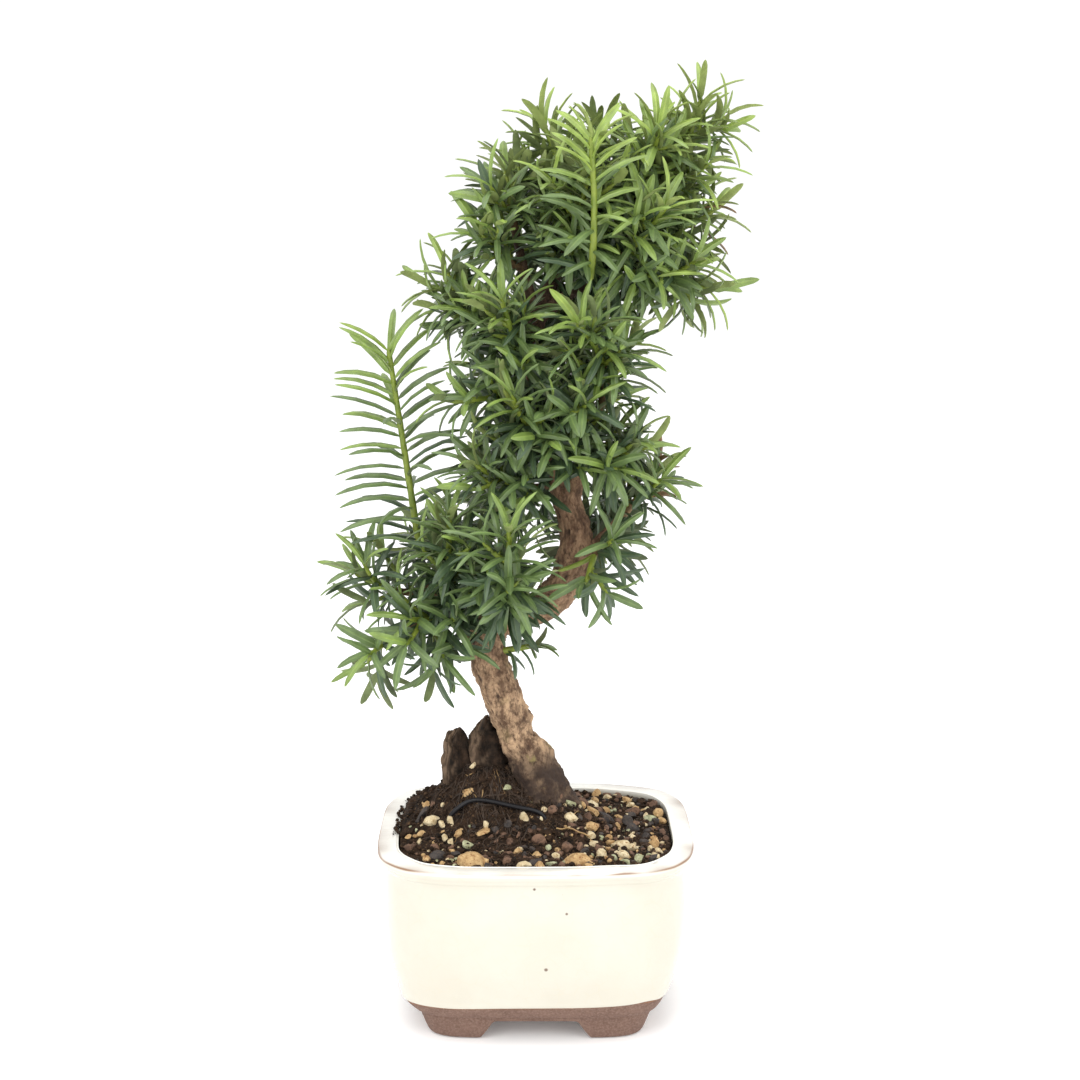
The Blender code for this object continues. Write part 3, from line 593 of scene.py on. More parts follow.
chance = random.Random("soil crumbs")
small_ball, small_faces = ball_template(1)
crumbs = []
for _ in range(CRUMBS):
    x, y = place_on_soil(chance)
    size = 0.4 + 1.9 * chance.random() ** 3.0
    grain = chipped(small_ball, chance, (size, size * 0.8, size * 0.65), 2, (0.6, 0.9))
    grain *= 1.0 + 0.25 * np.array([[chance.uniform(-1, 1)] for _ in range(len(grain))])
    middle = np.array((x, y, soil_surface(x, y) + size * 0.25))
    crumbs.append((grain + middle) * MM)
for _ in range(SPILLED):
    y = chance.uniform(-12.0, 34.0)
    size = 0.3 + 1.0 * chance.random() ** 2.0
    grain = chipped(small_ball, chance, (size, size * 0.8, size * 0.7), 2, (0.6, 0.9))
    inner = 57.4 * (1.0 - abs(y / 49.4) ** 4.2) ** (1.0 / 4.2)
    middle = np.array((-inner + chance.uniform(-1.8, 1.5), y, 77.0 + size * 0.35))
    crumbs.append((grain + middle) * MM)
crumb_piece = joined("soil_crumbs", np.array(crumbs), small_faces, peat)
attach(crumb_piece, "root")
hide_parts("soil")


def strand(points, radii, sides=3):
    """Corners of a thin tube through points, sides round each, and its faces."""
    corners = []
    for step, (point, radius) in enumerate(zip(points, radii)):
        after = points[min(step + 1, len(points) - 1)]
        before = points[max(step - 1, 0)]
        heading = (after - before).normalized()
        side = heading.orthogonal().normalized()
        over = heading.cross(side)
        for corner in range(sides):
            turn = 2.0 * math.pi * corner / sides
            corners.append(tuple(point + (side * math.cos(turn) + over * math.sin(turn)) * radius))
    faces = [tuple(reversed(range(sides)))]
    for step in range(len(points) - 1):
        for corner in range(sides):
            after = (corner + 1) % sides
            low = step * sides
            faces.append((low + corner, low + after, low + sides + after, low + sides + corner))
    faces.append(tuple(range((len(points) - 1) * sides, len(points) * sides)))
    return corners, faces


fibre_finishes = {}
for fibre_name, fibre_dark, fibre_light in (
    ("dark_root_fibre", (0.020, 0.012, 0.007), (0.066, 0.037, 0.020)),
    ("straw_fibre", (0.30, 0.17, 0.07), (0.46, 0.30, 0.13)),
):
    fibre = Finish(fibre_name, 0.7)
    fibre.colour(fibre.mix(fibre.between(fibre.noise(0.004), 0.35, 0.65), fibre_dark, fibre_light))
    fibre_finishes[fibre_name] = fibre

chance = random.Random("root fibres")
fibre_sets = {"dark_root_fibre": [], "straw_fibre": []}
fibre_faces = None
for number in range(FIBRES):
    if number % 3:
        x = chance.gauss(-14.0, 13.0)
        y = chance.gauss(-5.0, 11.0)
        length = chance.uniform(4.0, 13.0)
    else:
        x, y = place_on_soil(chance, 0.8)
        length = chance.uniform(3.0, 9.0)
    if abs(x / SOIL_REACH) ** 4 + abs(y / 48.0) ** 4 > 0.6:
        continue
    turn = chance.uniform(0, 2 * math.pi)
    curl = chance.uniform(-0.5, 0.5)
    lift = chance.uniform(0.2, 1.6)
    points = []
    for step in range(7):
        points.append(Vector((x, y, soil_surface(x, y) + lift * math.sin(math.pi * step / 6) + 0.15)) * MM)
        x += math.cos(turn) * length / 6
        y += math.sin(turn) * length / 6
        turn += curl + chance.uniform(-0.25, 0.25)
    radius = chance.uniform(0.07, 0.24) * MM
    corners, fibre_faces = strand(points, [radius] * 6 + [radius * 0.5])
    fibre_sets["straw_fibre" if number % 40 == 7 else "dark_root_fibre"].append(corners)
straw_points = []
for step in range(7):
    share = step / 6
    x = 8.5 + 13.5 * share
    y = -18.0 - 2.0 * share
    straw_points.append(Vector((x, y, soil_surface(x, y) + 1.2 + 0.8 * math.sin(3.0 * share))) * MM)
fibre_sets["straw_fibre"].append(strand(straw_points, [0.42 * MM] * 7)[0])
for fibre_name, corners in fibre_sets.items():
    fibres = joined(fibre_name + "s", np.array(corners), fibre_faces, fibre_finishes[fibre_name])
    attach(fibres, "root")
    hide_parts("soil")


# The gravel: crushed baked clay and grit of five colours, dull and sharp-edged, six of the
# largest grains as solids of their own and the rest strewn thickest along the front and right.
STONES = {
    # right, back and half length, then the colour
    "stone_front_left": (-25.5, -40.0, 6.5, "tan"),
    "stone_front_right": (17.0, -40.0, 5.8, "tan"),
    "stone_right": (35.0, -21.0, 3.9, "cream"),
    "stone_right_back": (49.0, 12.0, 3.6, "green"),
    "stone_middle": (22.5, -11.5, 3.6, "tan"),
    "stone_left": (-43.0, -11.0, 3.5, "cream"),
}
GRAVEL_COLOURS = {
    "cream": ((0.46, 0.35, 0.19), (0.70, 0.59, 0.38), (0.30, 0.16, 0.06)),
    "tan": ((0.33, 0.19, 0.075), (0.56, 0.38, 0.18), (0.22, 0.09, 0.03)),
    "rust": ((0.078, 0.040, 0.024), (0.200, 0.112, 0.068), (0.040, 0.022, 0.014)),
    "green": ((0.25, 0.25, 0.13), (0.47, 0.48, 0.30), (0.15, 0.12, 0.06)),
    "dark": ((0.022, 0.018, 0.017), (0.065, 0.052, 0.045), (0.10, 0.065, 0.045)),
}
PLACED_GRAVEL = (
    # colour, right, back, half length, flatness
    ("cream", -26.0, -2.0, 2.6, 0.6),
    ("tan", -28.5, -8.0, 3.2, 0.3),
    ("green", -12.0, -8.0, 2.2, 0.6),
    ("cream", 3.5, -11.0, 1.8, 0.4),
    ("cream", -5.0, -15.0, 3.6, 0.35),
    ("cream", -20.5, -17.5, 2.3, 0.7),
    ("tan", -22.0, -21.0, 4.4, 0.3),
    ("rust", -10.0, -23.0, 3.2, 0.6),
    ("cream", -6.5, -28.0, 2.0, 0.8),
    ("green", 5.0, -27.0, 2.0, 0.6),
    ("tan", 0.5, -34.5, 2.7, 0.5),
    ("green", 6.5, -41.0, 2.8, 0.5),
    ("rust", 13.0, -28.5, 3.4, 0.8),
    ("cream", 24.0, -23.0, 2.6, 0.8),
    ("green", 26.5, -17.0, 2.1, 0.8),
    ("dark", 41.0, -2.0, 4.0, 0.7),
    ("dark", 46.5, -4.0, 2.8, 0.8),
    ("dark", 29.5, 3.5, 5.2, 0.4),
    ("tan", 35.5, 13.0, 2.8, 0.6),
    ("rust", 42.0, 22.0, 5.0, 0.6),
    ("tan", 52.5, 17.0, 3.2, 0.9),
    ("green", 41.5, -36.0, 3.4, 0.6),
    ("cream", 50.0, -28.0, 2.4, 0.8),
    ("tan", 29.0, -39.0, 2.8, 0.6),
    ("tan", -47.0, -17.0, 2.3, 0.8),
    ("dark", -47.0, -4.0, 4.6, 0.4),
    ("tan", -46.0, 0.0, 3.2, 0.3),
    ("dark", -39.0, -33.0, 6.2, 0.35),
    ("rust", -10.5, -39.5, 3.0, 0.7),
    ("dark", -1.0, -41.0, 4.4, 0.45),
)
GRAVEL_COUNT = 980

gravel_finishes = {}
for colour_name, (dark, light, speck) in GRAVEL_COLOURS.items():
    gravel = Finish(colour_name + "_gravel", 0.85)
    gravel_cloud = gravel.mix(gravel.between(gravel.noise(0.0028, 5.0, 0.7), 0.38, 0.60), dark, light)
    gravel_specks = gravel.between(gravel.noise(0.0010, 3.0), 0.57, 0.66)
    gravel.colour(gravel.mix(gravel_specks, gravel_cloud, speck))
    gravel.bump(gravel.noise(0.0009, 4.0), 0.0002)
    gravel_finishes[colour_name] = gravel

for stone_name, (right, back, half_length, colour_name) in STONES.items():
    chance = random.Random(stone_name)
    deselect_all()
    bpy.ops.mesh.primitive_ico_sphere_add(subdivisions=5, radius=1.0)
    stone = bpy.context.object
    stone.name = stone_name + "_grain"
    turn = Matrix.Rotation(chance.uniform(-0.5, 0.5), 3, "Z")
    stretch = Vector((1.0, 0.72, 0.62)) * half_length
    middle = Vector((right, back, 0.0))
    middle.z = soil_height(right, back) + half_length * 0.12
    cuts = []
    for _ in range(9):
        side = Vector([chance.gauss(0, 1) for _ in range(3)]).normalized()
        cuts.append((side, chance.uniform(0.80, 0.95)))
    for vertex in stone.data.vertices:
        worn = 1.0 + 0.16 * noise.noise(vertex.co * 1.4 + Vector((right, back, 0.0)))
        pitted = 1.0 + 0.03 * noise.fractal(vertex.co * 4.0, 1.0, 2.0, 4)
        point = vertex.co * worn * 1.04
        for side, depth in cuts:
            point -= side * max(0.0, point.dot(side) - depth)
        vertex.co = (middle + turn @ (point * pitted * stretch)) * MM
    stone.data.materials.append(gravel_finishes[colour_name].material)
    soften(stone, 40)
    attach(stone, "root")
    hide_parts(stone_name)

chance = random.Random("gravel")
ball, ball_faces = ball_template(2)
gravel_sets = {colour_name: [] for colour_name in GRAVEL_COLOURS}
taken = [(right, back, size) for right, back, size, _ in STONES.values()]


def lay_grain(colour_name, x, y, size, flatness):
    stretch = (size, size * chance.uniform(0.65, 0.9), size * flatness)
    grain = chipped(ball, chance, stretch, 10, (0.48, 0.82))
    lean = UP.rotation_difference(soil_slope(x, y)).to_matrix()
    middle = np.array((x, y, soil_surface(x, y) + size * flatness * 0.35))
    gravel_sets[colour_name].append((grain @ np.array(lean).T + middle) * MM)
    taken.append((x, y, size))


for colour_name, x, y, size, flatness in PLACED_GRAVEL:
    lay_grain(colour_name, x, y, size, flatness)
colours_by_share = ("rust",) * 8 + ("dark",) * 4 + ("tan",) * 4 + ("cream",) * 4 + ("green",) * 2
laid = 0
while laid < GRAVEL_COUNT:
    x, y = place_on_soil(chance, 0.88)
    on_root_mat = math.exp(-(((x + 12.0) / 20.0) ** 2 + ((y + 2.0) / 17.0) ** 2))
    thick = min(1.0, 0.5 + 0.5 * (x / SOIL_REACH) - 0.35 * (y / 48.0)) - 0.9 * on_root_mat
    if chance.random() > thick:
        laid += 0.15
        continue
    size = 1.0 + (2.9 if x > 0.0 or y < -24.0 else 2.1) * chance.random() ** 1.6
    if any(math.hypot(x - tx, y - ty) < (size + ts) * 0.60 for tx, ty, ts in taken):
        laid += 0.15
        continue
    lay_grain(chance.choice(colours_by_share), x, y, size, chance.uniform(0.5, 0.8))
    laid += 1
for colour_name, corners in gravel_sets.items():
    gravel_piece = joined(colour_name + "_gravel", np.array(corners), ball_faces, gravel_finishes[colour_name])
    soften(gravel_piece, 22)
    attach(gravel_piece, "root")


# The old stump: two worn knobs of the first root, dark and fibrous, split by a cleft, with
# long ridges down them. It stands in the root mat behind the trunk's left side.
STUMP_KNOBS = (
    # right, back, up, radius, and how much taller than wide
    (-33.0, 5.0, 102.5, 7.0, 2.15),
    (-19.5, 6.0, 107.0, 9.8, 1.5),
)
STUMP_FLOOR = 88.0
STUMP_EYE = Vector((0.55, -0.8, 0.1))
STUMP_GROOVE = 1.9

old_root = Finish("dark_old_root", 0.92)
old_root.set(specular_ior_level=0.2)
root_cloud = old_root.mix(old_root.between(old_root.noise(0.004, 5.0), 0.38, 0.66), (0.009, 0.006, 0.004), (0.044, 0.026, 0.016))
# Paler patches towards the left and the top, the side the lamps light: partly wear, partly painted light.
root_worn_and_lit = old_root.mix(old_root.attribute("worn"), root_cloud, (0.185, 0.125, 0.083))
# Painted shade: the grooves between the ridges are darkened almost to black.
old_root.colour(old_root.mix(old_root.attribute("groove"), root_worn_and_lit, (0.016, 0.011, 0.008)))
old_root.bump(old_root.noise(0.0011, 5.0), 0.0007)

knobs = []
for right, back, up, radius, taller in STUMP_KNOBS:
    deselect_all()
    bpy.ops.mesh.primitive_uv_sphere_add(segments=96, ring_count=64, radius=1.0)
    knob = bpy.context.object
    groove_shade = knob.data.attributes.new("groove", "FLOAT", "POINT")
    wear_and_light = knob.data.attributes.new("worn", "FLOAT", "POINT")
    for index, vertex in enumerate(knob.data.vertices):
        worn = 1.0 + 0.14 * noise.noise(vertex.co * 1.5 + Vector((right, up, 0.0)))
        rough = noise.fractal(vertex.co * 5.0 + Vector((up, 0.0, 0.0)), 1.0, 2.0, 4)
        bent = noise.noise(vertex.co * 1.7 + Vector((up, right, 0.0)))
        from_eye = (vertex.co - STUMP_EYE).length * radius + 3.2 * bent + 0.8 * rough
        groove = 0.5 + 0.5 * math.sin(from_eye * 2.0 * math.pi / STUMP_GROOVE)
        cloud = noise.fractal(vertex.co * 1.9 + Vector((0.0, right, up)), 1.0, 2.0, 3)
        groove_shade.data[index].value = max(0.0, groove**2 * (0.55 + 0.6 * cloud))
        # Painted light with wear: paler towards the left and the top, in cloudy patches.
        outer = -vertex.co.x * (1.1 if right < -25.0 else 0.3) + 0.3 * vertex.co.z
        wear_and_light.data[index].value = min(1.0, max(0.0, outer + 0.9 * cloud - 0.1))
        worn += 0.10 * noise.noise(vertex.co * 3.1 + Vector((up, right, 4.0)))
        worn += 0.055 * rough - 0.075 * groove * (1.0 - 0.5 * vertex.co.z**2)
        vertex.co = vertex.co * radius * worn * MM
        vertex.co.z *= taller
        vertex.co += Vector((right, back, up)) * MM
    knob.data.materials.append(old_root.material)
    knobs.append(knob)
stump = knobs[0]
stump.name = "old_stump"
cut_with(stump, knobs[1], "UNION")
deselect_all()
bpy.ops.mesh.primitive_cube_add(size=0.08, location=(-0.025, 0.005, STUMP_FLOOR * MM - 0.04))
bpy.context.object.data.materials.append(old_root.material)
cut_with(stump, bpy.context.object)
soften(stump, 60)
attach(stump, "root")
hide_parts("root_stump")


# The anchor wire: one length of black coated training wire, laid over the root mat and
# pushed into the soil at both ends.
WIRE_RADIUS = 1.0
WIRE_ROUTE = (
    (-36.0, -12.6, 83.5),
    (-33.6, -12.9, 87.3),
    (-27.4, -12.5, 91.6),
    (-20.5, -12.6, 92.0),
    (-8.1, -13.6, 89.6),
    (-1.0, -13.2, 87.9),
    (3.0, -12.8, 85.5),
    (5.5, -13.2, 81.5),
)
wire_curve = bpy.data.curves.new("wire_route", "CURVE")
wire_curve.dimensions = "3D"
wire_curve.bevel_depth = WIRE_RADIUS * MM
wire_curve.bevel_resolution = 6
wire_curve.use_fill_caps = True
wire_line = wire_curve.splines.new("POLY")
wire_points = smoothed(WIRE_ROUTE, 8)
wire_line.points.add(len(wire_points) - 1)
for knot, point in zip(wire_line.points, wire_points):
    knot.co = (*(Vector(point) * MM), 1.0)
wire = bpy.data.objects.new("anchor_wire_coated", wire_curve)
bpy.context.scene.collection.objects.link(wire)
deselect_all()
wire.select_set(True)
bpy.context.view_layer.objects.active = wire
bpy.ops.object.convert(target="MESH")
wire = bpy.context.object
bpy.ops.object.mode_set(mode="EDIT")
bpy.ops.mesh.select_all(action="SELECT")
bpy.ops.mesh.remove_doubles(threshold=0.00001)
bpy.ops.mesh.normals_make_consistent(inside=False)
bpy.ops.object.mode_set(mode="OBJECT")
wire_skin = Finish("black_wire", 0.28)
wire_skin.set(specular_ior_level=0.28)
wire_skin.colour(wire_skin.mix(wire_skin.noise(0.002), (0.004, 0.004, 0.005), (0.014, 0.013, 0.015)))
wire_skin.gloss(wire_skin.between(wire_skin.noise(0.0015), 0.3, 0.7, 0.24, 0.4))
wire.data.materials.clear()
wire.data.materials.append(wire_skin.material)
soften(wire, 60)
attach(wire, "root")
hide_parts("anchor_wire")


# The trunk and boughs: flaky tan bark over an old curved trunk, darker where it flares into the
# soil, redder and more fibrous up in the crown, with painted shade there, its boughs grown out of it.
TRUNK_KNOTS = (
    # right, back, up and radius
    (4.4, 2.0, 84.0, 13.2),
    (3.8, 2.0, 87.0, 12.0),
    (1.6, 2.0, 95.5, 9.9),
    (-3.2, 1.0, 108.0, 8.5),
    (-6.7, 0.7, 113.0, 7.5),
    (-8.5, 0.5, 117.5, 7.1),
    (-13.2, -0.5, 132.0, 7.9),
    (-17.4, -1.0, 143.0, 7.6),
    (-20.0, -2.0, 153.0, 7.3),
    (-18.0, -2.0, 163.0, 6.8),
    (-9.0, -2.0, 168.0, 6.4),
    (4.0, -1.0, 172.5, 6.6),
    (13.0, 0.0, 183.0, 7.0),
    (16.5, 1.0, 200.0, 6.4),
    (10.5, 2.0, 221.0, 5.0),
    (2.5, 3.0, 247.0, 4.3),
    (-0.5, 3.0, 279.0, 3.4),
    (3.0, 3.0, 295.0, 2.8),
    (9.0, 2.0, 311.0, 2.0),
)
FLARE_TOP = 100.0
FLARE_LOBES = 3
FLARE_DEPTH = 0.16
BOUGHS = {
    # parent, place on it, tip, radius at root and tip, sag
    "bough_left": ("trunk", 157.0, (-46.0, 2.0, 180.0), 4.2, 2.2, 0.10),
    "bough_left_low": ("bough_left", 0.45, (-53.0, -7.0, 162.0), 2.2, 1.7, -0.12),
    "bough_right_low": ("trunk", 190.0, (34.0, -3.0, 208.0), 2.8, 1.7, 0.10),
    "bough_right": ("trunk", 211.0, (25.5, -10.0, 254.0), 3.0, 1.8, -0.10),
    "bough_left_middle": ("trunk", 241.0, (-14.0, -3.0, 282.0), 2.6, 1.7, 0.12),
    "bough_crown_left": ("trunk", 288.0, (-8.0, -3.0, 324.0), 2.2, 1.6, 0.10),
    "bough_crown_right": ("trunk", 291.0, (42.0, 2.0, 326.0), 2.6, 1.7, 0.12),
    "bough_crown_back": ("trunk", 298.0, (20.0, 27.0, 332.0), 2.2, 1.6, 0.12),
    "bough_back": ("trunk", 228.0, (3.0, 31.0, 256.0), 2.8, 1.7, 0.12),
    "bough_back_low": ("trunk", 165.0, (-20.0, 33.0, 190.0), 3.0, 1.8, 0.12),
}
STRAIGHT_ON_SHARE = 0.45
TRUNK_STEPS = 20
TRUNK_AROUND = 112
BOUGH_STEPS = 40
BOUGH_AROUND = 28
BARK_DEPTH = 0.9
BURLS = (
    # up, way round the trunk, how far it stands out, and half its width
    (126.5, -0.35, 1.2, 2.0),
    (122.0, 0.05, 1.5, 2.4),
    (105.5, 0.05, 1.3, 2.2),
    (104.0, -1.9, 1.1, 2.2),
)


def arc(start, bend, tip, steps):
    points = []
    for step in range(steps + 1):
        t = step / steps
        points.append(start * (1 - t) ** 2 + bend * 2 * t * (1 - t) + tip * t**2)
    return points


def along(path, share):
    """The point and heading at a share of the length of a path."""
    lengths = [(after - here).length for here, after in zip(path, path[1:])]
    left = share * sum(lengths)
    for step, length in enumerate(lengths):
        if left <= length or step == len(lengths) - 1:
            heading = (path[step + 1] - path[step]).normalized()
            return path[step] + heading * left, heading
        left -= length


def place_on(limb_name, at):
    """The point and heading at a height on the trunk, or at a share of a bough."""
    points = limbs[limb_name]["points"]
    if at in ("tip", 1.0):
        return points[-1], (points[-1] - points[-2]).normalized()
    if limb_name == "trunk":
        for low, high in zip(points, points[1:]):
            if low.z <= at <= high.z:
                share = (at - low.z) / (high.z - low.z)
                return low.lerp(high, share), (high - low).normalized()
    place = at * (len(points) - 1)
    low = min(int(place), len(points) - 2)
    return points[low].lerp(points[low + 1], place - low), (points[low + 1] - points[low]).normalized()


def grow_path(limb_name, at, tip, sag, steps):
    """A limb or stem that leaves its parent and bends to its tip."""
    start, heading = place_on(limb_name, at)
    tip = Vector(tip)
    reach = (tip - start).length
    if at in ("tip", 1.0):
        return arc(start, start + heading * reach * STRAIGHT_ON_SHARE, tip, steps)
    return arc(start, (start + tip) / 2 - UP * reach * sag, tip, steps)


trunk_rows = smoothed(TRUNK_KNOTS, TRUNK_STEPS)
limbs = {"trunk": {"points": [Vector(row[:3]) for row in trunk_rows], "radii": [row[3] for row in trunk_rows]}}
for bough_name, (parent, at, tip, root_radius, tip_radius, sag) in BOUGHS.items():
    points = grow_path(parent, at, tip, sag, BOUGH_STEPS)
    radii = []
    for step in range(len(points)):
        share = step / BOUGH_STEPS
        collar = 1.0 + 0.55 * math.exp(-share * 9.0)
        radii.append((root_radius + (tip_radius - root_radius) * share) * collar)
    limbs[bough_name] = {"points": points, "radii": radii}


def bark_relief(turn, length, radius, seed):
    """How far the bark stands out, from about -1 in its cracks to 1 on its loose flakes."""
    place = Vector((math.cos(turn) * radius, math.sin(turn) * radius, length + seed))
    warp = noise.noise_vector(place / 4.0) * 1.8
    plate_place = place + warp
    plate_place = Vector((plate_place.x / 3.0, plate_place.y / 3.0, plate_place.z / 6.0))
    near, next_near = noise.voronoi(plate_place)[0][:2]
    plates = min(1.0, (next_near - near) * 3.0)
    fibre_place = Vector((place.x / 1.3, place.y / 1.3, place.z / 7.0))
    fibres = 1.0 - 2.0 * abs(noise.noise(fibre_place))
    rough = noise.fractal(place / 3.0, 0.8, 2.1, 5)
    return 0.28 * (plates * 2.0 - 1.0) + 0.34 * fibres + 0.62 * rough


def bark_skin(limb_name, around, seed, depth):
    """Corners, relief and age of one limb's bark, ring by ring from its root."""
    points = limbs[limb_name]["points"]
    radii = limbs[limb_name]["radii"]
    side = Vector((1.0, 0.0, 0.0))
    corners, reliefs, ages = [], [], []
    length = 0.0
    for step, (point, radius) in enumerate(zip(points, radii)):
        after = points[min(step + 1, len(points) - 1)]
        before = points[max(step - 1, 0)]
        heading = (after - before).normalized()
        if limb_name == "trunk" and step < TRUNK_STEPS:
            heading = UP.lerp(heading, step / TRUNK_STEPS).normalized()
        side = (side - heading * side.dot(heading)).normalized()
        over = heading.cross(side)
        length += (point - before).length
        for corner in range(around):
            turn = 2.0 * math.pi * corner / around
            relief = bark_relief(turn, length, radius, seed)
            reach = radius + depth * relief * min(1.0, radius / 6.5)
            knotty = noise.noise(Vector((math.cos(turn), math.sin(turn), length / 9.0 + seed * 3.0)))
            reach *= 1.0 + 0.09 * knotty
            if limb_name == "trunk" and point.z < FLARE_TOP + 6.0:
                rise = max(0.0, (FLARE_TOP + 6.0 - point.z) / (FLARE_TOP + 6.0 - points[0].z))
                reach *= 1.0 + FLARE_DEPTH * rise**2 * math.cos(FLARE_LOBES * turn)
                reach *= 1.0 + 0.07 * rise * math.cos(7.0 * turn + 1.3)
            for burl_up, burl_turn, rise, width in BURLS if limb_name == "trunk" else ():
                aside = math.remainder(turn - burl_turn, 2.0 * math.pi) * radius
                reach += rise * math.exp(-((aside / width) ** 2) - ((point.z - burl_up) / width) ** 2)
            corners.append(point + (side * math.cos(turn) + over * math.sin(turn)) * reach)
            reliefs.append(relief)
            ages.append(min(1.0, max(0.0, (point.z - 120.0) / 90.0)) if limb_name == "trunk" else 1.0)
    return corners, reliefs, ages


def skin_faces(rings, around, first):
    faces = [tuple(first + corner for corner in reversed(range(around)))]
    for ring in range(rings - 1):
        low = first + ring * around
        for corner in range(around):
            after = (corner + 1) % around
            faces.append((low + corner, low + after, low + around + after, low + around + corner))
    faces.append(tuple(first + (rings - 1) * around + corner for corner in range(around)))
    return faces


bark_corners, bark_reliefs, bark_ages, bark_faces = [], [], [], []
for number, limb_name in enumerate(limbs):
    around = TRUNK_AROUND if limb_name == "trunk" else BOUGH_AROUND
    corners, reliefs, ages = bark_skin(limb_name, around, number * 7.3, BARK_DEPTH)
    bark_faces += skin_faces(len(limbs[limb_name]["points"]), around, len(bark_corners))
    bark_corners += corners
    bark_reliefs += reliefs
    bark_ages += ages
bark_mesh = bpy.data.meshes.new("trunk_and_boughs")
bark_mesh.from_pydata([tuple(corner * MM) for corner in bark_corners], [], bark_faces)
for attribute_name, values in (("relief", bark_reliefs), ("age", bark_ages)):
    attribute = bark_mesh.attributes.new(attribute_name, "FLOAT", "POINT")
    attribute.data.foreach_set("value", values)
bark_piece = bpy.data.objects.new("trunk_and_boughs", bark_mesh)
bpy.context.scene.collection.objects.link(bark_piece)

bark = Finish("flaky_bark", 0.88)
bark_low = bark.mix(bark.between(bark.noise(0.0042, 6.0, 0.72, (1.0, 1.0, 0.62)), 0.40, 0.60), (0.11, 0.060, 0.033), (0.54, 0.360, 0.215))
bark_high = bark.mix(bark.between(bark.noise(0.0042, 6.0, 0.7, (1.0, 1.0, 0.5)), 0.38, 0.64), (0.115, 0.058, 0.033), (0.43, 0.265, 0.158))
bark_tone = bark.mix(bark.attribute("age"), bark_low, bark_high)
bark_relief_value = bark.attribute("relief")
# Painted shade: the bark is darkened in its cracks, where its relief is lowest.
bark_crack_shade = bark.between(bark_relief_value, -0.60, 0.05, 1.0, 0.0)
bark_flecks = bark.between(bark.noise(0.0014, 4.0, 0.7, (1.0, 1.0, 0.45)), 0.36, 0.45, 0.75, 0.0)
bark_flecked = bark.mix(bark_flecks, bark_tone, (0.090, 0.050, 0.030))
bark_crack_shaded = bark.mix(bark_crack_shade, bark_flecked, (0.055, 0.030, 0.018))
bark_split = bark.nodes.new("ShaderNodeSeparateXYZ")
bark.links.new(bark.place, bark_split.inputs["Vector"])
# Darker in patches towards the base, where the trunk flares into the soil.
darker_base = bark.between(bark_split.outputs["Z"], 0.102, 0.114, 1.0, 0.0)
darker_base_patches = bark.math("MULTIPLY", darker_base, bark.between(bark.noise(0.006, 4.0), 0.25, 0.55, 0.6, 1.0))
bark_darker_base = bark.mix(darker_base_patches, bark_crack_shaded, (0.040, 0.023, 0.015))
lichen_here = bark.between(bark.noise(0.010, 4.0), 0.56, 0.64)
lichen_right = bark.between(bark_split.outputs["X"], -0.016, 0.004)
lichen_low = bark.between(bark_split.outputs["Z"], 0.150, 0.175, 1.0, 0.0)
lichen = bark.math("MULTIPLY", bark.math("MULTIPLY", lichen_here, lichen_right), bark.math("MULTIPLY", lichen_low, 0.75))
bark_lichened = bark.mix(lichen, bark_darker_base, (0.30, 0.25, 0.085))
# Painted shade: the bark darkens upwards from 250 mm as it goes into the crown.
crown_shade = bark.between(bark_split.outputs["Z"], 0.250, 0.295, 0.0, 0.65)
bark.colour(bark.mix(crown_shade, bark_lichened, (0.048, 0.030, 0.020)))
bark.bump(bark.noise(0.0013, 5.0, 0.65, (1.0, 1.0, 0.5)), 0.0009)
bark_mesh.materials.append(bark.material)
soften(bark_piece, 70)
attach(bark_piece, "root")
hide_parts("trunk", *BOUGHS)


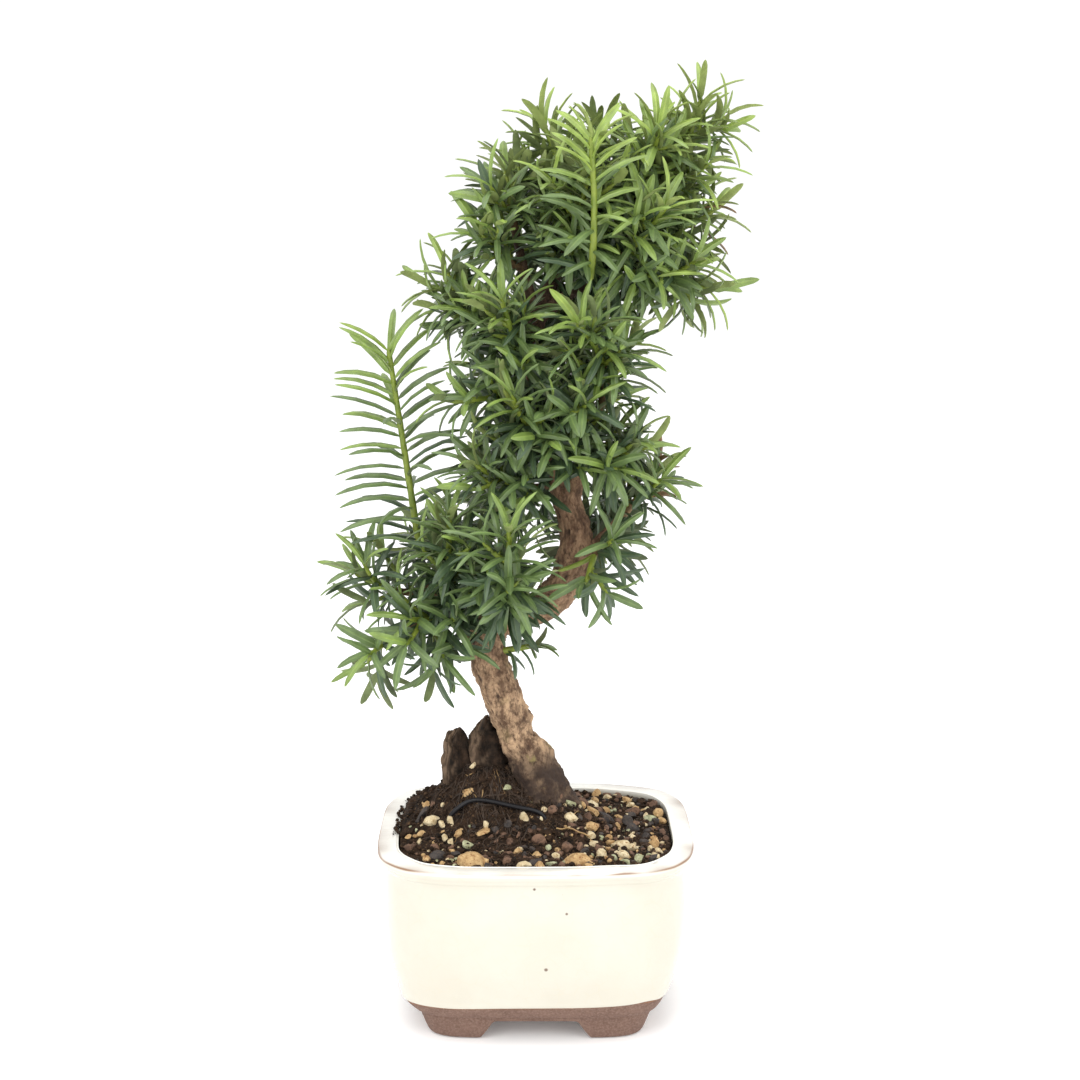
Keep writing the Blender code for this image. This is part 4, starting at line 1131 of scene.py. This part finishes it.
# The shoots: each foliage mass is one stem with finer side twigs that leave it in a spiral.
# Their older ends are thin brown bark, and this year's growth is ribbed and yellow green.
MASSES = {
    # limb, place on it, the stem's tip, sag
    "crown_right_leader": ("bough_crown_right", 1.0, (64.5, 0.0, 374.5), 0.0),
    "crown_right_inner": ("bough_crown_right", 0.80, (47.0, -9.0, 364.0), 0.10),
    "crown_front_center": ("trunk", 303.0, (23.0, -25.0, 358.0), 0.25),
    "crown_leader": ("trunk", "tip", (2.5, 2.0, 366.0), 0.0),
    "crown_left_outer": ("bough_crown_left", 1.0, (-12.0, -5.0, 347.0), 0.0),
    "crown_left_low": ("bough_crown_left", 0.62, (-21.5, -14.0, 323.0), 0.15),
    "crown_right_front": ("bough_crown_right", 0.50, (50.0, -31.0, 334.0), 0.15),
    "crown_right_side": ("bough_crown_right", 0.88, (71.0, 5.0, 331.0), 0.15),
    "crown_right_low": ("bough_crown_right", 0.68, (70.0, -7.0, 300.0), 0.0),
    "crown_right_under": ("bough_crown_right", 0.38, (24.0, 4.0, 297.0), -0.20),
    "crown_back_top": ("bough_crown_back", 1.0, (28.0, 36.0, 364.0), 0.0),
    "crown_back_right": ("bough_crown_back", 0.72, (53.0, 42.0, 336.0), 0.15),
    "crown_back_left": ("bough_crown_back", 0.52, (-8.0, 41.0, 343.0), 0.15),
    "crown_back_low": ("trunk", 282.0, (22.0, 45.0, 308.0), 0.20),
    "middle_left_front": ("trunk", 268.0, (-13.0, -34.0, 299.0), 0.20),
    "middle_right_front": ("bough_right", 1.0, (15.5, -40.0, 290.0), 0.0),
    "middle_front": ("trunk", 226.0, (18.0, -30.0, 268.0), 0.15),
    "middle_front_left": ("trunk", 236.0, (-9.0, -34.0, 262.0), 0.15),
    "left_shoulder": ("bough_left_middle", 1.0, (-42.5, -4.0, 302.0), 0.0),
    "middle_left": ("bough_left_middle", 0.60, (-26.0, -23.0, 259.5), 0.15),
    "middle_left_low": ("trunk", 222.0, (-24.0, -25.0, 234.0), 0.20),
    "middle_right": ("bough_right", 0.80, (19.0, 6.0, 266.0), 0.15),
    "middle_right_low": ("bough_right", 0.50, (38.0, -26.0, 242.0), 0.20),
    "middle_back_left": ("bough_back", 0.78, (-25.0, 37.0, 268.0), 0.15),
    "middle_back_right": ("bough_back", 0.55, (27.0, 38.0, 256.0), 0.20),
    "middle_back": ("bough_back", 1.0, (2.0, 47.0, 285.0), 0.0),
    "long_left_shoot": ("bough_left", 0.97, (-59.0, 0.0, 277.5), 0.0),
    "low_front": ("trunk", 167.0, (-10.0, -47.0, 212.0), 0.25),
    "low_left_inner": ("bough_left", 0.62, (-34.0, -26.0, 214.0), 0.20),
    "low_left_front": ("bough_left_low", 0.25, (-50.0, -27.0, 172.0), 0.0),
    "low_left": ("bough_left", 0.86, (-74.0, -7.0, 187.0), 0.15),
    "low_left_hanging": ("bough_left_low", 0.93, (-68.5, -12.0, 150.0), -0.40),
    "low_left_under": ("bough_left_low", 0.50, (-37.0, -19.0, 154.0), -0.10),
    "low_right": ("bough_right_low", 1.0, (49.0, -6.0, 227.0), 0.0),
    "low_right_front": ("bough_right_low", 0.60, (20.0, -25.0, 186.0), -0.10),
    "low_back_left": ("bough_back_low", 0.75, (-48.0, 40.0, 194.0), 0.15),
    "low_back": ("bough_back_low", 1.0, (-12.0, 45.5, 218.0), 0.0),
    "low_back_right": ("trunk", 196.0, (32.0, 37.0, 206.0), 0.15),
    "bend_sprig": ("trunk", 152.0, (1.0, -9.0, 157.0), 0.0),
}
GOLDEN_TURN = math.radians(137.5)
STEM_STEPS = 14
STEM_RADIUS = 1.7
STEM_TIP_RADIUS = 1.05
TWIG_RADIUS = 1.2
TWIG_TIP_RADIUS = 0.8
TWIG_SPACING = 11.0
TWIG_REACH = (13.0, 24.0)
TWIG_ANGLE = math.radians(46.0)
SPUR_RADIUS = 0.8
SPUR_SPACING = 11.0
SPUR_REACH = (5.0, 9.0)
SPUR_ANGLE = math.radians(54.0)
THIN_MASSES = (
    "low_left",
    "low_left_hanging",
    "low_left_under",
    "low_left_front",
    "low_right_front",
    "middle_left",
    "middle_right",
    "middle_back_left",
    "middle_back_right",
)
BARE_STEMS = ("long_left_shoot", "bend_sprig")
NEEDLE_SHARES = {
    "bend_sprig": 0.6,
    "long_left_shoot": 1.36,
    "middle_left": 0.88,
    "middle_right": 0.82,
    "middle_back_left": 0.82,
    "middle_back_right": 0.82,
    "low_left_hanging": 0.92,
}
FLAT_SHOOTS = {"long_left_shoot": 0.4}
SPACE_OVERLAP = 13.0
LIMB_MARGIN = 1.2
ROOM_SHARES = (1.0, 0.85, 0.7)
ROOM_TEST_SHARES = (0.35, 0.65, 1.0)


def spread(heading, turn, angle, flat=1.0):
    """A direction at an angle to the heading, turned round it, or more to left and right."""
    side = heading.orthogonal().normalized()
    side.rotate(Matrix.Rotation(turn, 3, heading))
    side = Vector((side.x, side.y * flat, side.z)).normalized()
    return (heading * math.cos(angle) + side * math.sin(angle)).normalized()


stems = {}
for mass_name, (limb_name, at, tip, sag) in MASSES.items():
    stems[mass_name] = grow_path(limb_name, at, tip, sag, STEM_STEPS)

stem_points, stem_owners = [], []
for number, stem in enumerate(stems.values()):
    for low, high in zip(stem, stem[1:]):
        for share in (0.0, 0.33, 0.66):
            stem_points.append(low.lerp(high, share)[:])
            stem_owners.append(number)
    stem_points.append(stem[-1][:])
    stem_owners.append(number)
stem_points = np.array(stem_points)
stem_owners = np.array(stem_owners)
limb_points = []
for limb in limbs.values():
    for point, radius in zip(limb["points"], limb["radii"]):
        limb_points.append((*point, radius))
limb_points = np.array(limb_points)


def holds(owner, point):
    """Whether a place is clear of all bark and not far into another mass's space."""
    place = np.array(point)
    if (np.linalg.norm(limb_points[:, :3] - place, axis=1) - limb_points[:, 3]).min() < LIMB_MARGIN:
        return False
    away = np.linalg.norm(stem_points - place, axis=1)
    own = stem_owners == owner
    return away[own].min() < away[~own].min() + SPACE_OVERLAP


def room_for(owner, start, tip):
    for share in ROOM_SHARES:
        end = start.lerp(tip, share)
        if all(holds(owner, start.lerp(end, part)) for part in ROOM_TEST_SHARES):
            return share
    return 0.0


# Every shoot of the crown: its mass's number, path, radius at root and tip, and turn
mass_names = list(MASSES)
shoots = []
for owner, (mass_name, stem) in enumerate(stems.items()):
    chance = random.Random(mass_name)
    phase = chance.uniform(0, 2 * math.pi)
    shoots.append((owner, stem, STEM_RADIUS, STEM_TIP_RADIUS, phase))
    length = sum((after - here).length for here, after in zip(stem, stem[1:]))
    count = 0 if mass_name in BARE_STEMS else max(2, round(length / TWIG_SPACING))
    for step in range(count):
        share = 0.08 + 0.70 * (step + 0.5) / count
        point, heading = along(stem, share)
        direction = spread(heading, phase + step * GOLDEN_TURN, TWIG_ANGLE)
        reach = chance.uniform(*TWIG_REACH) * (1.15 - 0.62 * share)
        room = room_for(owner, point, point + direction * reach)
        if room <= 0.0:
            continue
        tip = point + direction * reach * room
        twig = arc(point, point.lerp(tip, 0.5) - UP * reach * 0.04, tip + UP * reach * 0.10, 6)
        shoots.append((owner, twig, TWIG_RADIUS, TWIG_TIP_RADIUS, phase + step))

# The upright shoot in front of the crown, bright and bare between its two rows of needles
FRONT_SHOOT = (Vector((21.0, -24.0, 306.0)), Vector((23.5, -39.0, 326.0)), Vector((20.7, -38.0, 359.0)))
FRONT_SHOOT_RADIUS = 1.45
front_owner = mass_names.index("crown_front_center")
shoots.append((front_owner, arc(*FRONT_SHOOT, 12), FRONT_SHOOT_RADIUS, STEM_TIP_RADIUS, 0.0))

# Short spurs off the inner part of every stem and twig, which close the middle of the crown
chance = random.Random("spurs")
for owner, path, root_radius, _, phase in list(shoots):
    if mass_names[owner] in BARE_STEMS + THIN_MASSES or root_radius == FRONT_SHOOT_RADIUS:
        continue
    length = sum((after - here).length for here, after in zip(path, path[1:]))
    count = round(length / SPUR_SPACING)
    for step in range(count):
        point, heading = along(path, 0.12 + 0.5 * (step + 0.5) / count)
        direction = spread(heading, phase + 1.1 + step * GOLDEN_TURN, SPUR_ANGLE)
        reach = chance.uniform(*SPUR_REACH)
        if room_for(owner, point, point + direction * reach) == 1.0:
            spur = arc(point, point + direction * reach * 0.5, point + direction * reach + UP * 0.8, 4)
            shoots.append((owner, spur, SPUR_RADIUS, SPUR_RADIUS * 0.7, phase + step))

green_shoot = Finish("green_shoot", 0.45)
green_shoot.colour(
    green_shoot.mix(green_shoot.between(green_shoot.noise(0.006), 0.35, 0.65), (0.135, 0.195, 0.024), (0.25, 0.31, 0.040))
)
green_shoot.bump(green_shoot.noise(0.001, 3.0, stretch=(1.0, 1.0, 0.3)), 0.0003)
woody_twig = Finish("woody_twig", 0.8)
woody_twig.colour(
    woody_twig.mix(woody_twig.between(woody_twig.noise(0.004), 0.35, 0.65), (0.085, 0.045, 0.022), (0.20, 0.13, 0.055))
)
woody_twig.bump(woody_twig.noise(0.0012, 4.0), 0.0004)
WOODY_SHARE = 0.42
shoot_sets = {"woody": ([], []), "green": ([], [])}
for owner, path, root_radius, tip_radius, phase in shoots:
    length = sum((after - here).length for here, after in zip(path, path[1:]))
    stretches = [("green", 0.0, 1.0)]
    if root_radius == STEM_RADIUS and mass_names[owner] not in BARE_STEMS:
        stretches = [("woody", 0.0, WOODY_SHARE + 0.02), ("green", WOODY_SHARE, 1.0)]
    for kind, start, end in stretches:
        steps = max(3, round(length * (end - start) / 2.2))
        points, radii = [], []
        for step in range(steps + 1):
            share = start + (end - start) * step / steps
            point, _ = along(path, share)
            points.append(point * MM)
            ribbed = 1.0 + 0.12 * noise.noise(point * 0.9)
            radius = root_radius + (tip_radius - root_radius) * share
            if kind == "green" and start > 0.0:
                radius *= 0.95
            radii.append(radius * ribbed * MM)
        radii[-1] *= 0.35 if end == 1.0 else 1.0
        corners, faces = strand(points, radii, 7)
        base = len(shoot_sets[kind][0])
        shoot_sets[kind][0].extend(corners)
        shoot_sets[kind][1].extend([tuple(base + corner for corner in face) for face in faces])
for kind, finish, slot_name in (("woody", woody_twig, "tan_bark"), ("green", green_shoot, "dark_green_needles")):
    mesh = bpy.data.meshes.new(kind + "_shoots")
    mesh.from_pydata(shoot_sets[kind][0], [], shoot_sets[kind][1])
    mesh.materials.append(finish.material)
    piece = bpy.data.objects.new(kind + "_shoots", mesh)
    bpy.context.scene.collection.objects.link(piece)
    soften(piece, 60)
    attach(piece, "root")
    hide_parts(*MASSES)


# The needles: flat, blunt-pointed leathery straps on short stalks in a spiral round every
# shoot, arched, with a raised rib above and a pale underside, yellow green towards its tips,
# and painted darker inside the crown as shade and lighter at its top and outside as light.
NEEDLE_LENGTH = 25.5
NEEDLE_SHORTEST_SHARE = 0.84
NEEDLE_SHORTER_AT_TIP = 0.20
NEEDLE_WIDTH = 3.0
NEEDLE_THICKNESS = 1.1
NEEDLE_SPACING = 1.65
NEEDLE_ANGLE_LOW = math.radians(74.0)
NEEDLE_ANGLE_TIP = math.radians(34.0)
NEEDLE_DROOP = (0.04, 0.20)
NEEDLE_ARCH = 0.09
NEEDLE_STATIONS = (
    # share of the length and of the width
    (0.0, 0.32),
    (0.05, 0.34),
    (0.13, 0.86),
    (0.36, 1.0),
    (0.64, 0.98),
    (0.84, 0.80),
    (0.95, 0.42),
)
NEEDLE_SECTION = (
    # across and up, in widths and thicknesses, from the left edge over the rib and back below
    (-0.5, 0.0),
    (-0.12, 0.22),
    (0.0, 0.5),
    (0.12, 0.22),
    (0.5, 0.0),
    (0.0, -0.40),
)
NEEDLE_BARE_TO = {"low_left_hanging": 0.45}
FLAT_SHOOT_WIDER = 0.12
BROWN_NEEDLES_ON = ("crown_right_side", "low_right")
CLEAR_OF_NEEDLES = (
    # right, back, up and radius of the places before the bare trunk and front shoot that stay open
    (22.0, -46.0, 316.0, 5.5),
    (22.5, -49.0, 327.0, 7.0),
    (22.0, -50.0, 338.0, 7.5),
    (21.5, -50.0, 349.0, 7.0),
    (12.0, -15.0, 226.0, 8.0),
    (17.0, -15.0, 212.0, 9.5),
    (17.0, -15.0, 197.0, 9.5),
    (11.0, -15.0, 182.0, 8.5),
    (0.0, -14.0, 172.0, 7.0),
)
NEEDLE_TONES = {
    # blade, rib, underside
    "deep_and_shaded": ((0.038, 0.066, 0.030), (0.054, 0.086, 0.036), (0.096, 0.122, 0.064)),
    "mid": ((0.080, 0.124, 0.040), (0.106, 0.158, 0.048), (0.154, 0.190, 0.082)),
    "fresh_and_lit": ((0.132, 0.194, 0.043), (0.162, 0.230, 0.050), (0.200, 0.242, 0.084)),
    "young_and_lit": ((0.165, 0.234, 0.044), (0.212, 0.286, 0.054), (0.226, 0.276, 0.086)),
    "brown": ((0.130, 0.070, 0.030), (0.180, 0.100, 0.045), (0.180, 0.110, 0.055)),
}


def needle_faces():
    """Faces of one needle with the slot of each: 0 blade, 1 rib, 2 underside."""
    size = len(NEEDLE_SECTION)
    kinds = (0, 1, 1, 0, 2, 2)
    faces = [tuple(range(size))]
    slots = [2]
    for station in range(len(NEEDLE_STATIONS) - 1):
        low = station * size
        for corner in range(size):
            after = (corner + 1) % size
            faces.append((low + after, low + corner, low + size + corner, low + size + after))
            slots.append(kinds[corner])
    low = (len(NEEDLE_STATIONS) - 1) * size
    for corner in range(size):
        faces.append((low + (corner + 1) % size, low + corner, low + size))
        slots.append(kinds[corner])
    return faces, slots


def needle_corners(start, direction, upper, length, width, droop, curl):
    """Corners of one needle, arched along its length, its tip drooping."""
    across = direction.cross(upper).normalized()
    face = across.cross(direction).normalized()
    corners = []
    for share, breadth in NEEDLE_STATIONS + ((1.0, 0.0),):
        middle = start + direction * length * share
        middle += face * length * (NEEDLE_ARCH * 4 * share * (1 - share) - droop * share**2.2)
        middle += across * length * curl * share**2
        if breadth == 0.0:
            corners.append(middle)
            break
        for wide, high in NEEDLE_SECTION:
            thick = NEEDLE_THICKNESS * (0.5 + 0.5 * breadth)
            corners.append(middle + across * wide * width * breadth + face * high * thick)
    return [tuple(corner * MM) for corner in corners]


needle_sets = {tone: [] for tone in NEEDLE_TONES}
chance = random.Random("needles")
trunk_line = np.array([row[:3] for row in trunk_rows])


def needle_tone_and_light(point, share, mass_name):
    """Which green a needle has: fresher towards shoot tips, with painted light at the crown's top and outside and
    painted shade near the trunk and low down.
    """
    # Painted light and shade: needles high up and far from the trunk get lighter greens, those low and near it darker
    # ones.
    trunk_away = np.linalg.norm(trunk_line - np.array(point), axis=1).min()
    light = 0.44 * share**1.5 + 0.24 * min(1.0, trunk_away / 65.0)
    light += 0.32 * max(0.0, (point.z - 150.0) / 230.0) + chance.uniform(-0.12, 0.12)
    if mass_name in ("crown_front_center", "crown_right_leader"):
        light += 0.08
    if light > 0.88:
        return "young_and_lit"
    if light > 0.66:
        return "fresh_and_lit"
    if light > 0.38:
        return "mid"
    return "deep_and_shaded"


def hides_trunk(start, reach):
    """Whether a needle would hang before the trunk's bare stretch or the front shoot's stem."""
    for right, back, up, radius in CLEAR_OF_NEEDLES:
        middle = Vector((right, back, up))
        if any((start + reach * part - middle).length < radius for part in (0.3, 0.65, 1.0)):
            return True
    return False


for owner, path, root_radius, _, phase in shoots:
    length = sum((after - here).length for here, after in zip(path, path[1:]))
    mass_name = mass_names[owner]
    count = max(6, round(length / NEEDLE_SPACING))
    flat = FLAT_SHOOTS.get(mass_name, 0.45 if root_radius == FRONT_SHOOT_RADIUS else 1.0)
    for step in range(count):
        share = min((step + 0.8) / count, 0.985)
        point, heading = along(path, share)
        angle = NEEDLE_ANGLE_LOW + (NEEDLE_ANGLE_TIP - NEEDLE_ANGLE_LOW) * share**3
        angle += chance.uniform(-0.13, 0.13) + (FLAT_SHOOT_WIDER if mass_name in FLAT_SHOOTS else 0.0)
        direction = spread(heading, phase + step * GOLDEN_TURN, angle, flat)
        size = NEEDLE_LENGTH * chance.uniform(NEEDLE_SHORTEST_SHARE, 1.0)
        taper = share if mass_name in FLAT_SHOOTS else share**3
        size *= NEEDLE_SHARES.get(mass_name, 1.0) * (1.0 - NEEDLE_SHORTER_AT_TIP * taper)
        if root_radius == TWIG_RADIUS:
            size *= 0.92
        elif root_radius == SPUR_RADIUS:
            size *= 0.80
        room = room_for(owner, point, point + direction * size)
        if room <= 0.0 or share < NEEDLE_BARE_TO.get(mass_name, 0.0) or hides_trunk(point, direction * size):
            continue
        upper = (heading + UP * 0.6).normalized()
        if flat < 1.0:
            upper = (heading + Vector((0.0, -0.9, 0.4))).normalized()
        width = NEEDLE_WIDTH * chance.uniform(0.78, 1.22)
        droop = chance.uniform(*NEEDLE_DROOP) * (1.0 - 0.6 * share)
        corners = needle_corners(
            point, direction, upper, size * room, width, droop, chance.uniform(-0.09, 0.09)
        )
        tone = needle_tone_and_light(point + direction * size * 0.5, share, mass_name)
        if mass_name in BROWN_NEEDLES_ON and chance.random() < 0.05:
            tone = "brown"
        needle_sets[tone].append(corners)

one_needle_faces, one_needle_slots = needle_faces()
for tone, corners in needle_sets.items():
    finishes = []
    for part_name, colour in zip(("blade", "rib", "underside"), NEEDLE_TONES[tone]):
        needle = Finish(tone + "_needle_" + part_name, 0.38 if part_name != "underside" else 0.55)
        needle.set(specular_ior_level=0.5)
        lighter = tuple(channel * 1.6 for channel in colour)
        needle.colour(needle.mix(needle.between(needle.noise(0.007, 3.0), 0.35, 0.68), colour, lighter))
        finishes.append(needle)
    piece = joined(tone + "_needles", np.array(corners), one_needle_faces, finishes[0])
    piece.data.materials.append(finishes[1].material)
    piece.data.materials.append(finishes[2].material)
    piece.data.polygons.foreach_set("material_index", one_needle_slots * len(corners))
    soften(piece, 50)
    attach(piece, "root")
    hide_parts(*MASSES)
    print(tone, len(corners), "needles")
